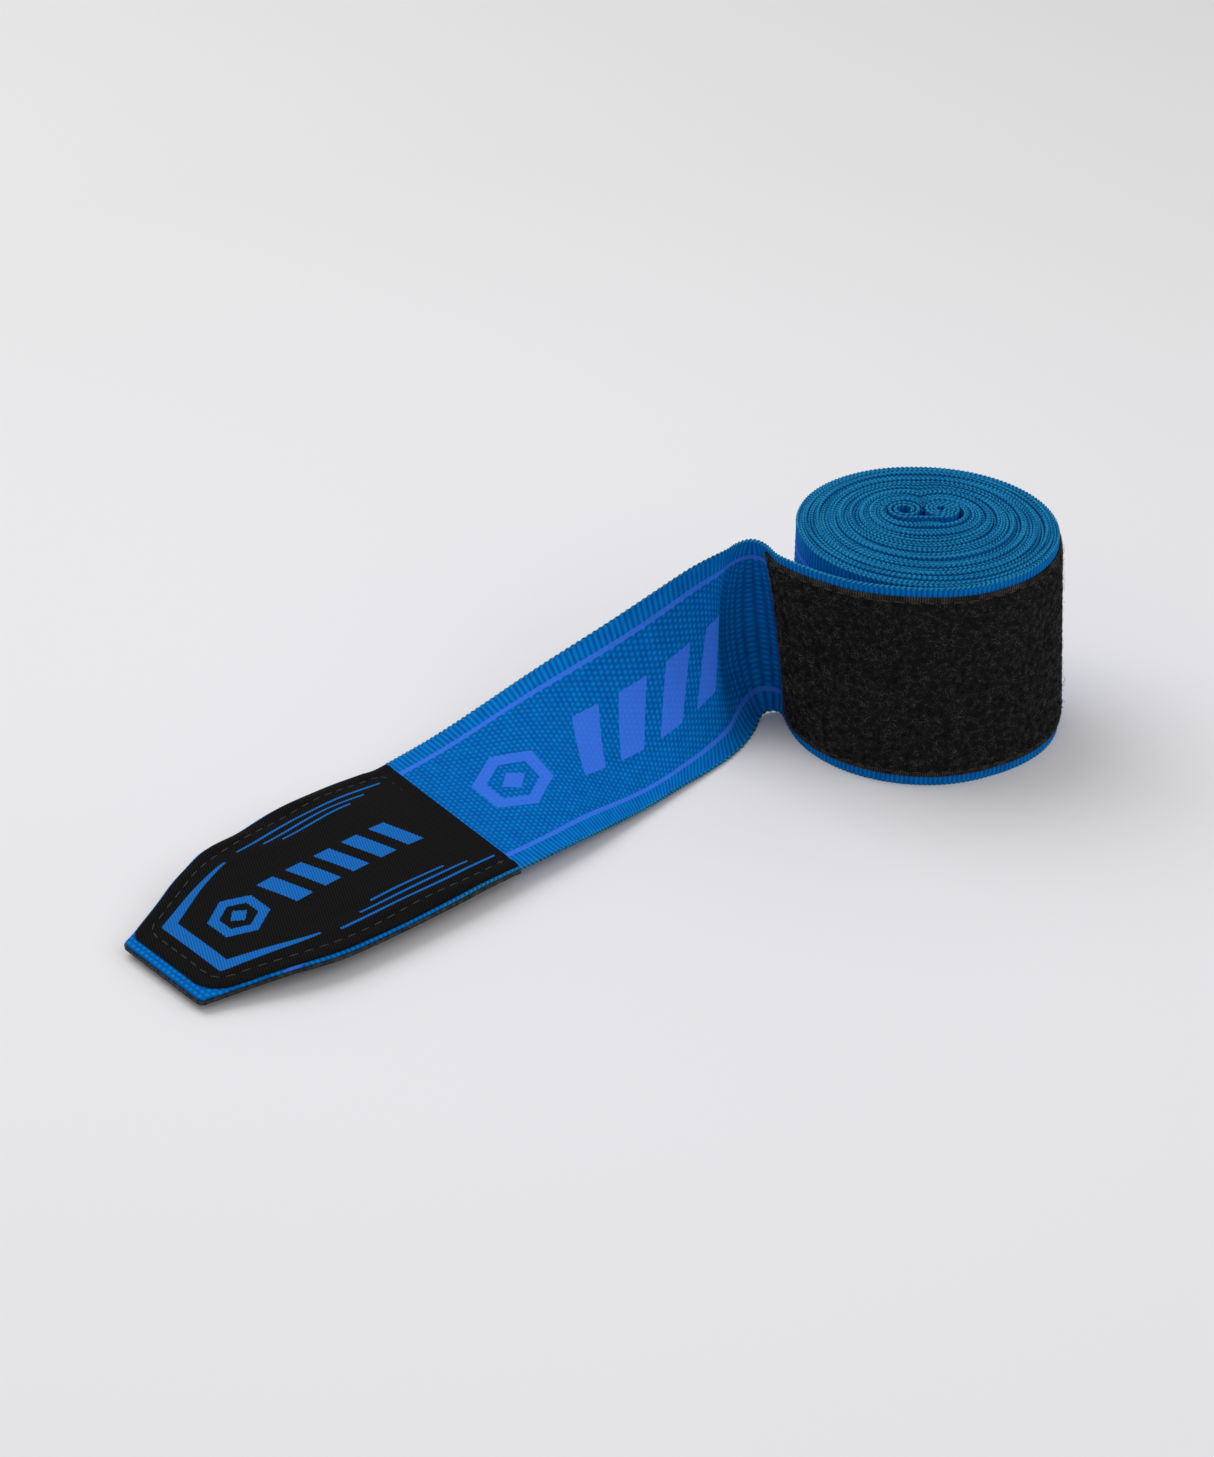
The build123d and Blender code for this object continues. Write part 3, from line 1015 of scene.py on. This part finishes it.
def thumb_loop_tape():
    """A flattened ring of tape."""
    straight = thumb_half - thumb_round
    bend = np.linspace(-math.pi / 2, math.pi / 2, 13)
    reach, rise = thumb_round * np.cos(bend), thumb_round * np.sin(bend)
    right = np.stack([straight + reach, thumb_seat + rise], axis=1)
    left = np.stack([-straight - reach, thumb_seat - rise], axis=1)
    line = evenly(np.concatenate([right, left, right[:1]]), thumb_step)[::-1]
    heights = np.linspace(thumb_low, thumb_low + thumb_size[2], 21)
    face = standing_face(line, heights)
    along = np.arange(len(line)) * thumb_step
    piece = shell("thumb_loop_tape", face, heights, face, heights, along, 0.7)
    piece.data.materials.append(thumb_tape())
    return close_ends(piece)


thumb_piece = thumb_loop_tape()

# %% [markdown]
# ## Thread
# Stitches are the same short, fat stitch again and again along a line, which is a job
# for instances: the line is resampled at the stitch pitch and one stretched ball is laid
# along it at each point. The bar tack is one thread that runs to and fro, so it is a
# thin tube along a zigzag.

# %% Thread material, stitch recipe and bar tack
def thread_finish():
    """Dull black polyester thread with a twist to it."""
    finish = Finish("black_thread", roughness=0.7, sheen=0.0, specular=0.15)
    twist = noise(finish.tree, finish.place(), 4000.0, 2.0)
    finish.colour(finish.mix(twist, (0.010, 0.010, 0.011), (0.045, 0.045, 0.048)))
    finish.bump(twist, 0.05, 0.6)
    return finish.material


thread_material = thread_finish()


def stitch_recipe(material):
    """Lays a stitch along a line at every pitch."""
    recipe = Recipe("stitches", pitch=3.2, length=2.3, thickness=0.32)
    points = recipe.node(
        "GeometryNodeResampleCurve",
        {"mode": "LENGTH"},
        Curve=recipe.geometry,
        Length=recipe.size("pitch") * MM,
    )
    tangent = recipe.node("GeometryNodeInputTangent")
    facing = recipe.node(
        "FunctionNodeAlignRotationToVector", {"axis": "X"}, Vector=tangent.outputs[0]
    )
    ball = recipe.node("GeometryNodeMeshUVSphere", Segments=8, Rings=6, Radius=0.5 * MM)
    thick = recipe.size("thickness")
    stretched = recipe.node(
        "GeometryNodeTransform",
        Geometry=ball.outputs[0],
        Scale=recipe.vector(recipe.size("length"), thick, thick),
    )
    laid = recipe.node(
        "GeometryNodeInstanceOnPoints",
        Points=points.outputs[0],
        Instance=stretched.outputs[0],
        Rotation=facing.outputs[0],
    )
    return recipe.finish(laid.outputs[0], material)


stitches = stitch_recipe(thread_material)


def line_object(name, lines):
    """Open lines through points in millimetres, as one curve object."""
    curve = bpy.data.curves.new(name, "CURVE")
    curve.dimensions = "3D"
    for points in lines:
        spline = curve.splines.new("POLY")
        spline.points.add(len(points) - 1)
        for target, point in zip(spline.points, points):
            target.co = (*(np.array(point) * MM), 1)
    piece = bpy.data.objects.new(name, curve)
    scene.collection.objects.link(piece)
    return piece


def thread_tube(name, lines, thickness, material):
    """Thin tubes along lines, as a plain mesh piece."""
    base = line_object(name + "_lines", lines)
    base.data.bevel_depth = thickness / 2 * MM
    base.data.bevel_resolution = 1
    base.data.use_fill_caps = True
    depsgraph = bpy.context.evaluated_depsgraph_get()
    mesh = bpy.data.meshes.new_from_object(base.evaluated_get(depsgraph))
    bpy.data.objects.remove(base)
    mesh.materials.clear()
    mesh.materials.append(material)
    mesh.shade_smooth()
    piece = bpy.data.objects.new(name, mesh)
    scene.collection.objects.link(piece)
    return piece


tack_rows = 11
tack_x = [-1.9 + 1.1 * (-1) ** i for i in range(tack_rows)]
tack_z = np.linspace(20, 30, tack_rows)
tack_line = [in_core(x, thumb_seat + thumb_round + 0.1, z) for x, z in zip(tack_x, tack_z)]
bar_tack = thread_tube("thumb_loop_bar_tack", [tack_line], 0.3, thread_material)

# %% [markdown]
# ## Loop tape
# The loop half of the closure is a black tape sewn round the front of the roll. It has a
# thin ribbed border at the top and the bottom, and between them a dense, soft pile of
# tiny loops. The tape is a shell over the last turn, lifted off its face. The pile is
# real: thousands of small arches scattered over the tape by a recipe, each turned and
# leaned its own way, with a few long stray fibres that catch the light.

# %% Loop tape path and backing
tape_margin = 2.5
tape_wrap = 90.0
backing = 0.5
tape_border = 1.0
tape_width = 45.0


def tape_path():
    """The loop tape's rows: round the roll to the peel line, then along the last turn."""
    step = math.degrees(row_step / roll_radius)
    angles = np.arange(peel_angle + tape_wrap, wound_start + step / 2, -step)
    feet = np.array([polar(roll_radius, angle) for angle in angles])
    tops = feet + np.array([0, 0, band_width])
    on_roll = np.hstack([feet, tops, np.zeros((len(angles), 1))])
    return with_outward(np.concatenate([on_roll, free_path[:tape_row + 1]]))


tape_rows = tape_path()
tape_along = np.arange(len(tape_rows))[::-1] * row_step
to_corner = np.clip(1 - tape_along / 14.0, 0, 1)[:, None] ** 2


def tape_columns(shares):
    """Columns of the tape; its top border creeps up to the band's edge at the crease."""
    low = tape_margin
    high = band_width - tape_margin + 0.5 + 0.8 * to_corner
    return low + (high - low) * shares[None]


def tape_cloth():
    """Black knitted backing, greyer and ribbed along its borders."""
    finish = Finish("loop_tape", roughness=0.95, sheen=0.0, specular=0.03)
    along, across = finish.attribute("along"), finish.attribute("across")
    ribs = (along * (math.pi / 0.55)).sin().size()
    from_edge = (across - 0.5).size() * -1.0 + 0.5
    border = from_edge.below(tape_border / tape_width)
    fuzz = noise(finish.tree, finish.place(), 1800.0, 4.0)
    dark = finish.mix(fuzz, (0.004, 0.004, 0.004), (0.016, 0.015, 0.015))
    worn = noise(finish.tree, finish.vector(along, across), 0.3, 2.0).ramp(0.35, 0.7)
    ribbed = finish.mix(ribs * (worn + 0.25), (0.004, 0.004, 0.004), (0.06, 0.05, 0.042))
    finish.colour(finish.mix(border, dark, ribbed))
    finish.bump(fuzz + ribs * border * 0.6, 0.4, 1.0)
    return finish.material


tape_shares = np.linspace(0, 1, 91)
tape_face = path_face(tape_rows, tape_columns(tape_shares), lift=0.04 + backing)
loop_tape = shell("loop_tape", tape_face, tape_shares, tape_face, tape_shares, tape_along, backing)
loop_tape.data.materials.append(tape_cloth())
close_ends(loop_tape)

# %% The pile of loops
def pile_finish():
    """Black pile fibres; some are painted grey as highlights."""
    finish = Finish("loop_pile", roughness=0.9, sheen=0.0, specular=0.04)
    shade = noise(finish.tree, finish.place(), 700.0, 3.0)
    # The grey fibres that this noise picks out are painted highlights.
    finish.colour(finish.mix(shade.ramp(0.4, 0.8), (0.005, 0.005, 0.005), (0.11, 0.105, 0.105)))
    return finish.material


def pile_recipe(material):
    """Scatters small arches of fibre over a face."""
    recipe = Recipe("pile", per_square_mm=1.5, loop_size=0.36, fibre=0.035, seed=1)
    spots = recipe.node(
        "GeometryNodeDistributePointsOnFaces",
        {"distribute_method": "RANDOM"},
        Mesh=recipe.geometry,
        Density=recipe.size("per_square_mm") * 1e6,
        Seed=recipe.size("seed"),
    )
    arc = recipe.node(
        "GeometryNodeCurveArc",
        {"mode": "RADIUS"},
        Resolution=6,
        Radius=recipe.size("loop_size") * MM,
        Start_Angle=math.radians(-30),
        Sweep_Angle=math.radians(230),
    )
    profile = recipe.node(
        "GeometryNodeCurvePrimitiveCircle",
        {"mode": "RADIUS"},
        Resolution=3,
        Radius=recipe.size("fibre") * MM,
    )
    arch = recipe.node(
        "GeometryNodeCurveToMesh", Curve=arc.outputs[0], Profile_Curve=profile.outputs[0]
    )
    upright = recipe.node(
        "GeometryNodeTransform", Geometry=arch.outputs[0], Rotation=(math.pi / 2, 0, 0)
    )
    seed = recipe.size("seed")
    turned = recipe.vector(
        recipe.random(-0.9, 0.9, seed + 10), recipe.random(-0.5, 0.5, seed + 20),
        recipe.random(0.0, 2 * math.pi, seed + 30),
    )
    by = recipe.node("FunctionNodeEulerToRotation", Euler=turned)
    facing = recipe.node(
        "FunctionNodeRotateRotation",
        {"rotation_space": "LOCAL"},
        Rotation=spots.outputs["Rotation"],
        Rotate_By=by.outputs[0],
    )
    long, tall = recipe.random(0.5, 1.5, seed + 40), recipe.random(0.4, 1.25, seed + 50)
    placed = recipe.node(
        "GeometryNodeInstanceOnPoints",
        Points=spots.outputs["Points"],
        Instance=upright.outputs[0],
        Rotation=facing.outputs[0],
        Scale=recipe.vector(long, long, tall),
    )
    return recipe.finish(placed.outputs[0], material)


pile = pile_recipe(pile_finish())


def pile_ground(name):
    """A bare grid on the tape's face, inside its borders, for the pile to stand on."""
    shares = np.linspace(tape_border / tape_width, 1 - tape_border / tape_width, 21)
    face = path_face(tape_rows, tape_columns(shares), lift=0.04 + backing)
    rows, count = face.shape[:2]
    first = np.arange(rows * count).reshape(rows, count)
    quads = np.stack([first[:-1, :-1], first[:-1, 1:], first[1:, 1:], first[1:, :-1]], axis=-1)
    mesh = bpy.data.meshes.new(name)
    mesh.from_pydata((face.reshape(-1, 3) * MM).tolist(), [], quads.reshape(-1, 4).tolist())
    ground = bpy.data.objects.new(name, mesh)
    scene.collection.objects.link(ground)
    return ground


pile_pieces = [
    run(pile, pile_ground(f"pile_ground_{i}"), f"loop_pile_{i}", seed=i)
    for i in (1, 2, 3)
]
pile_pieces.append(
    run(pile, pile_ground("stray_ground"), "loop_pile_strays",
        seed=9, per_square_mm=0.12, loop_size=0.95, fibre=0.03)
)

# %% The tape's seam
def tape_seam_lines():
    """Stitch lines inside the tape's top, bottom and far end."""
    low, high = 1.1 / tape_width, 1 - 1.1 / tape_width
    face = path_face(tape_rows, tape_columns(np.array([low, high])), lift=0.04 + backing + 0.05)
    end = path_face(tape_rows[:4], tape_columns(np.linspace(low, high, 60))[:4], lift=0.1 + backing)
    return [face[1:-1, 0], face[1:-1, 1], end[2]]


tape_seam = run(stitches, line_object("tape_seam_lines", tape_seam_lines()), "loop_tape_seam")

# %% [markdown]
# ## Closure tab
# The last 76 mm of the band carry a woven label on top and hook tape below, all three
# cut to one outline: full width for 18 mm, then bowed sides that taper to a blunt end.
# Each layer is a shell over the same warped plane, so they stay stacked: the tab arches
# a few millimetres off the table between its fold and its tip. The distance from an edge
# is carried on its points, because the seam, the padding and the woven border of the
# label all follow the outline.

# %% Tab outline and layers
tab_length = 76.0
tab_straight = 18.0
tab_sides = ((0, 25), (18, 25), (25.4, 24.6), (36, 24.1), (46.9, 23.2), (52.9, 21.9),
             (59.5, 19.4), (67.1, 16.2), (76.4, 12.5))
tab_arch = ((0, 0), (8, 1.3), (16, 2.7), (25, 3.4), (35, 3.7), (46, 4.1), (53, 4.1),
            (60, 3.4), (68, 2.1), (77, 0.9))


def tab_half(x, grow, length, corner):
    """Half the width of a tab layer at a distance from its inner edge."""
    places, halves = np.array(tab_sides, dtype=float).T
    half = sum(np.interp(x + shift, places, halves) for shift in (-3, -1.5, 0, 1.5, 3)) / 5
    into = np.clip(x - (length - corner), 0, corner)
    return half + grow - (corner - np.sqrt(np.maximum(corner**2 - into**2, 0)))


def tab_warp(x, y):
    """How far the sewn layers lift off their plane."""
    places, heights = np.array(tab_arch, dtype=float).T
    arch = sum(np.interp(x + shift, places, heights) for shift in (-4, -2, 0, 2, 4)) / 5
    middle = np.sin(np.pi * np.clip(x / tab_length, 0, 1))
    arch = arch * np.clip(x / 4.0, 0, 1) - 2.2 * middle * np.clip(y / half_width, 0, 1) ** 1.5
    edge = (y / half_width) ** 2
    return arch + middle * (0.3 * edge * np.sin(x / 4.2 + y) + 0.12 * np.sin(x / 5.0 + y / 9.0))


def tab_grid(grow, length, near_corner, far_corner, top, rows=150, count=97):
    """Grid of one layer's upper face, with its place on the tab and its inset."""
    ease = np.linspace(0, 1, rows)
    x = length * (ease + 0.045 * np.sin(np.pi * ease))
    x = np.minimum(x, length - 0.02 * (1 - ease))
    side = np.linspace(1, -1, count)
    near = tab_half(x, grow, length, near_corner)
    far = tab_half(x, grow, length, far_corner)
    y = np.where(side[None] > 0, near[:, None] * side[None], far[:, None] * side[None])
    widest = np.where(side[None] > 0, near[:, None], far[:, None])
    inset = np.minimum(widest - np.abs(y), (length - x)[:, None])
    square = np.broadcast_to(x[:, None], y.shape)
    slanted = square + y * tab_skew * np.clip(1 - square / tab_straight, 0, 1)
    height = top(slanted, y, inset) + tab_warp(slanted, y)
    return slanted, y, inset, height


def tab_points(x, y, z):
    """Places on the tab's plane, in millimetres of the row frame."""
    place = tab_middle + x[..., None] * tab_forward
    place = place + y[..., None] * tab_sideways + z[..., None] * tab_up
    return place + roll_axis


def rim(values):
    """A layer's numbers, carried round its edges and over its lower face."""
    return np.concatenate([values, values[:, -1:], values[:, ::-1], values[:, :1]], axis=1)


def tab_layer(name, grow, length, corners, top, thickness, edge, along_of, across_of):
    """A shell for one layer of the tab."""
    x, y, inset, height = tab_grid(grow, length, *corners, top)
    face = tab_points(x, y, height)
    piece = shell(name, face, across_of(y), face, across_of(y), x[:, 0], thickness, edge)
    for label, values in (("along", along_of(x)), ("across", across_of(y)), ("inset", inset)):
        with_number(piece, label, rim(values))
    return piece


def level(height):
    """A flat top at one height."""
    return lambda x, y, inset: np.full(x.shape, height)


tab_band = tab_layer("tab_band", 0.0, tab_length, (1.0, 0.7), level(0.0), band_thickness, 0.1,
                     lambda x: -x, lambda y: half_width - y)
tab_band.data.materials.append(band_material)
close_ends(tab_band)

# %% [markdown]
# ## Woven label
# The label is a tight black satin with its pattern woven in blue: a bracket that follows
# the tab's end, three thin lines along each side, a hexagon and a row of slanted bars.
# Satin shows as fine diagonal floats, and a woven pattern has stepped edges, so the edges
# of the colour mask waver a little across the label. The cloth is folded under at its
# edge, which pads the rim, and the seam pulls a shallow channel into it.

# %% Label material and piece
label_blue = (0.01, 0.135, 0.44)
label_length = 73.9


def label_weave():
    """The label's material."""
    finish = Finish("label_satin", roughness=0.8, sheen=0.0, specular=0.03)
    along, across, inset = (finish.attribute(name) for name in ("along", "across", "inset"))
    float_line = ((along + across * 0.5) * (math.pi / 0.32)).sin()
    floats = noise(finish.tree, finish.vector(along * 1.2, across * 4.0), 2.0, 2.0)
    stepped_x = along + ((across * (math.pi / 0.45)).sin()) * 0.09
    lines = (inset - 5.6).size().below(0.28) * stepped_x.within(4.0, 44.0)
    lines = lines.most((inset - 7.5).size().below(0.26) * stepped_x.within(10.0, 38.0))
    lines = lines.most((inset - 9.2).size().below(0.26) * stepped_x.within(15.0, 34.0))
    bracket_width = stepped_x.ramp(46.0, 67.0) * 1.35 + 0.12
    bracket = (inset - 6.6).size().below(bracket_width) * stepped_x.above(48.0)
    mark = hexagon_ring(stepped_x - 56.5, across, 5.6, 2.1)
    bars = slanted_bars(stepped_x - 13.0, across, 5, 7.4, 4.2, 10.0)
    pattern = lines.most(bracket).most(mark).most(bars)
    satin = (float_line * 0.3 + floats).ramp(0.2, 0.9)
    black = finish.mix(satin, (0.002, 0.002, 0.0022), (0.0085, 0.008, 0.0085))
    blue = finish.mix(satin, (0.004, 0.07, 0.27), label_blue)
    finish.colour(finish.mix(pattern, black, blue))
    finish.bump(satin * 0.5 + pattern * 0.35, 0.15, 0.8)
    return finish.material


def label_top(x, y, inset):
    """Upper face of the label: padded at the rim, drawn down along the seam."""
    seam = np.exp(-((inset - 3.0) / 0.45) ** 2)
    rim = np.exp(-((inset - 1.5) / 0.9) ** 2)
    edge = np.exp(-(inset / 0.35) ** 2)
    puckers = 0.05 * np.sin(2 * np.pi * (x + y * 0.3) / 3.2) * np.exp(-((inset - 3.0) / 1.6) ** 2)
    return label_thickness - 0.2 * seam + 0.16 * rim - 0.12 * edge + puckers


label = tab_layer("woven_label", -0.5, label_length, (5.0, 1.5), label_top, 0.42, 0.12,
                  lambda x: x, lambda y: -y)
label.data.materials.append(label_weave())
close_ends(label)


# %% Label seam
def label_seam_line():
    """The closed stitch line, three millimetres inside the label's edge."""
    inset = 3.0
    end = label_length - inset
    x = np.concatenate([np.arange(inset, end - 3.0, 1.0), np.linspace(end - 3.0, end - 0.05, 8)])
    near = tab_half(x, -0.5 - inset, end, 3.0)
    far = -tab_half(x, -0.5 - inset, end, 1.0)
    x = np.concatenate([x, x[::-1], x[:1]])
    y = np.concatenate([near, far[::-1], near[:1]])
    slanted = x + y * tab_skew * np.clip(1 - x / tab_straight, 0, 1)
    height = label_thickness - 0.12 + tab_warp(slanted, y)
    return evenly(tab_points(slanted, y, height), 0.5)


label_line = line_object("label_seam_line", [label_seam_line()])
label_stitches = run(stitches, label_line, "label_seam_stitches")

# %% [markdown]
# ## Hook tape
# Under the tab lies the hook half of the closure: a stiff woven tape with rows of tiny
# plastic hooks that face the table. It is cut a little larger than the band, so its
# black rim shows round the end. The hooks stand on a regular grid, one instance on each
# point, and each is turned one way or the other at random.

# %% Hook tape material, backing and hooks
hook_backing = 0.72


def hook_finish():
    """Black nylon: a ribbed backing and glossy hooks."""
    finish = Finish("hook_tape", roughness=0.6, sheen=0.0, specular=0.12)
    along, across = finish.attribute("along"), finish.attribute("across")
    ribs = (along * (math.pi / 0.6)).sin() * (across * (math.pi / 0.6)).sin()
    dust = noise(finish.tree, finish.place(), 900.0, 3.0)
    finish.colour(finish.mix(dust.ramp(0.35, 0.8), (0.007, 0.007, 0.007), (0.05, 0.047, 0.044)))
    finish.bump(ribs * 0.5 + dust, 0.12, 0.8)
    return finish.material


hook_material = hook_finish()
hook_tape = tab_layer("hook_tape_backing", 0.4, tab_length + 0.4, (1.2, 0.9),
                      level(-band_thickness - 0.02), hook_backing, 0.08,
                      lambda x: x, lambda y: half_width - y)
hook_tape.data.materials.append(hook_material)
close_ends(hook_tape)


def hook_recipe(material):
    """Stands one small hook on every point, pointing down."""
    recipe = Recipe("hooks", size=0.24, stem=0.055, seed=4)
    arc = recipe.node(
        "GeometryNodeCurveArc",
        {"mode": "RADIUS"},
        Resolution=7,
        Radius=recipe.size("size") * MM,
        Start_Angle=math.radians(-40),
        Sweep_Angle=math.radians(250),
    )
    profile = recipe.node(
        "GeometryNodeCurvePrimitiveCircle",
        {"mode": "RADIUS"},
        Resolution=4,
        Radius=recipe.size("stem") * MM,
    )
    hook = recipe.node(
        "GeometryNodeCurveToMesh",
        Curve=arc.outputs[0],
        Profile_Curve=profile.outputs[0],
        Fill_Caps=True,
    )
    hanging = recipe.node(
        "GeometryNodeTransform", Geometry=hook.outputs[0], Rotation=(-math.pi / 2, 0, 0)
    )
    seed = recipe.size("seed")
    half_turn = recipe.random(0.0, 2.0, seed).above(1.0) * math.pi
    spin = recipe.vector(0.0, 0.0, half_turn + recipe.random(-0.25, 0.25, seed + 1))
    placed = recipe.node(
        "GeometryNodeInstanceOnPoints",
        Points=recipe.geometry,
        Instance=hanging.outputs[0],
        Rotation=recipe.node("FunctionNodeEulerToRotation", Euler=spin).outputs[0],
    )
    return recipe.finish(placed.outputs[0], material)


def hook_ground(pitch):
    """Points of the hook grid on the tape's lower face."""
    points = []
    for x in np.arange(3.6, tab_length - 0.8, pitch):
        half = float(tab_half(np.array([x]), -1.0, tab_length - 0.8, 1.5)[0])
        for y in np.arange(-math.floor(half / pitch) * pitch, half, pitch):
            place, side = np.array([x]), np.array([y])
            height = -band_thickness - hook_backing - 0.2 + tab_warp(place, side)
            points.append(tab_points(place, side, height)[0] * MM)
    mesh = bpy.data.meshes.new("hook_ground")
    mesh.from_pydata([tuple(point) for point in points], [], [])
    ground = bpy.data.objects.new("hook_ground", mesh)
    scene.collection.objects.link(ground)
    return ground


hooks = run(hook_recipe(hook_material), hook_ground(1.5), "hook_tape_hooks")

# %% [markdown]
# ## Riding on the bodies
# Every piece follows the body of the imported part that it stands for. Three stretches of
# cloth cross a joint and are blended: the last turn and its tape bend where they peel
# off the roll, the crease bends as the tail swings, and the fold bends as the tab lifts.

# %% Bodies, nodes and cloth sizes
def along_peel(distance_mm):
    """A point on the peel line, moved along the last turn's direction."""
    heading = polar(distance_mm, peel_angle - 90)
    return tuple((roll_axis + polar(loop_face_radius, peel_angle) + heading) * MM)


peel_zone = {"start": along_peel(-4.0), "end": along_peel(4.0)}
for piece in (last_turn_band, loop_tape, tape_seam, *pile_pieces):
    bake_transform(piece, "roll", "last_turn", **peel_zone)

crease_foot = free_path[crease_row][:3] + roll_axis
crease_edge = free_path[crease_row][3:6] - free_path[crease_row][:3]
crease_way = polar(1.0, 150)
crease_way -= crease_edge * (crease_way @ crease_edge) / (crease_edge @ crease_edge)
crease_way /= np.linalg.norm(crease_way)
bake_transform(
    crease_band, "last_turn", "tail",
    start=tuple((crease_foot + crease_way * 0.6) * MM),
    end=tuple((crease_foot + crease_way * 7.0) * MM),
)
lift_place = joint_place("tab_lift")
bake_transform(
    tab_fold_band, "tail", "closure_tab",
    start=tuple((lift_place - tab_forward * 5.0) * MM),
    end=tuple((lift_place - tab_forward * 0.5) * MM),
)
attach(tail_band, "tail")
wound_pieces = (outer_turn_band, middle_turns_band, inner_turns_band)
for piece in (*wound_pieces, core_fold_band, thumb_piece, bar_tack):
    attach(piece, "roll")
for piece in (tab_band, label, label_stitches, hook_tape, hooks):
    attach(piece, "closure_tab")

for piece in wound_pieces:
    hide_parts("band_roll")
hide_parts("band_start_fold")
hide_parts("thumb_loop")
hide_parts("thumb_loop_bartack")
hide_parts("band_last_turn")
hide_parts("band_crease")
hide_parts("band_tail")
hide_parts("band_tail")
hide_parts("band_tip")
for piece in (loop_tape, *pile_pieces):
    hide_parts("loop_tape_rear", "loop_tape_front")
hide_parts("loop_tape_rear_seam", "loop_tape_front_seam")
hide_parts("closure_label")
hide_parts("label_seam")
for piece in (hook_tape, hooks):
    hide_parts("hook_tape")
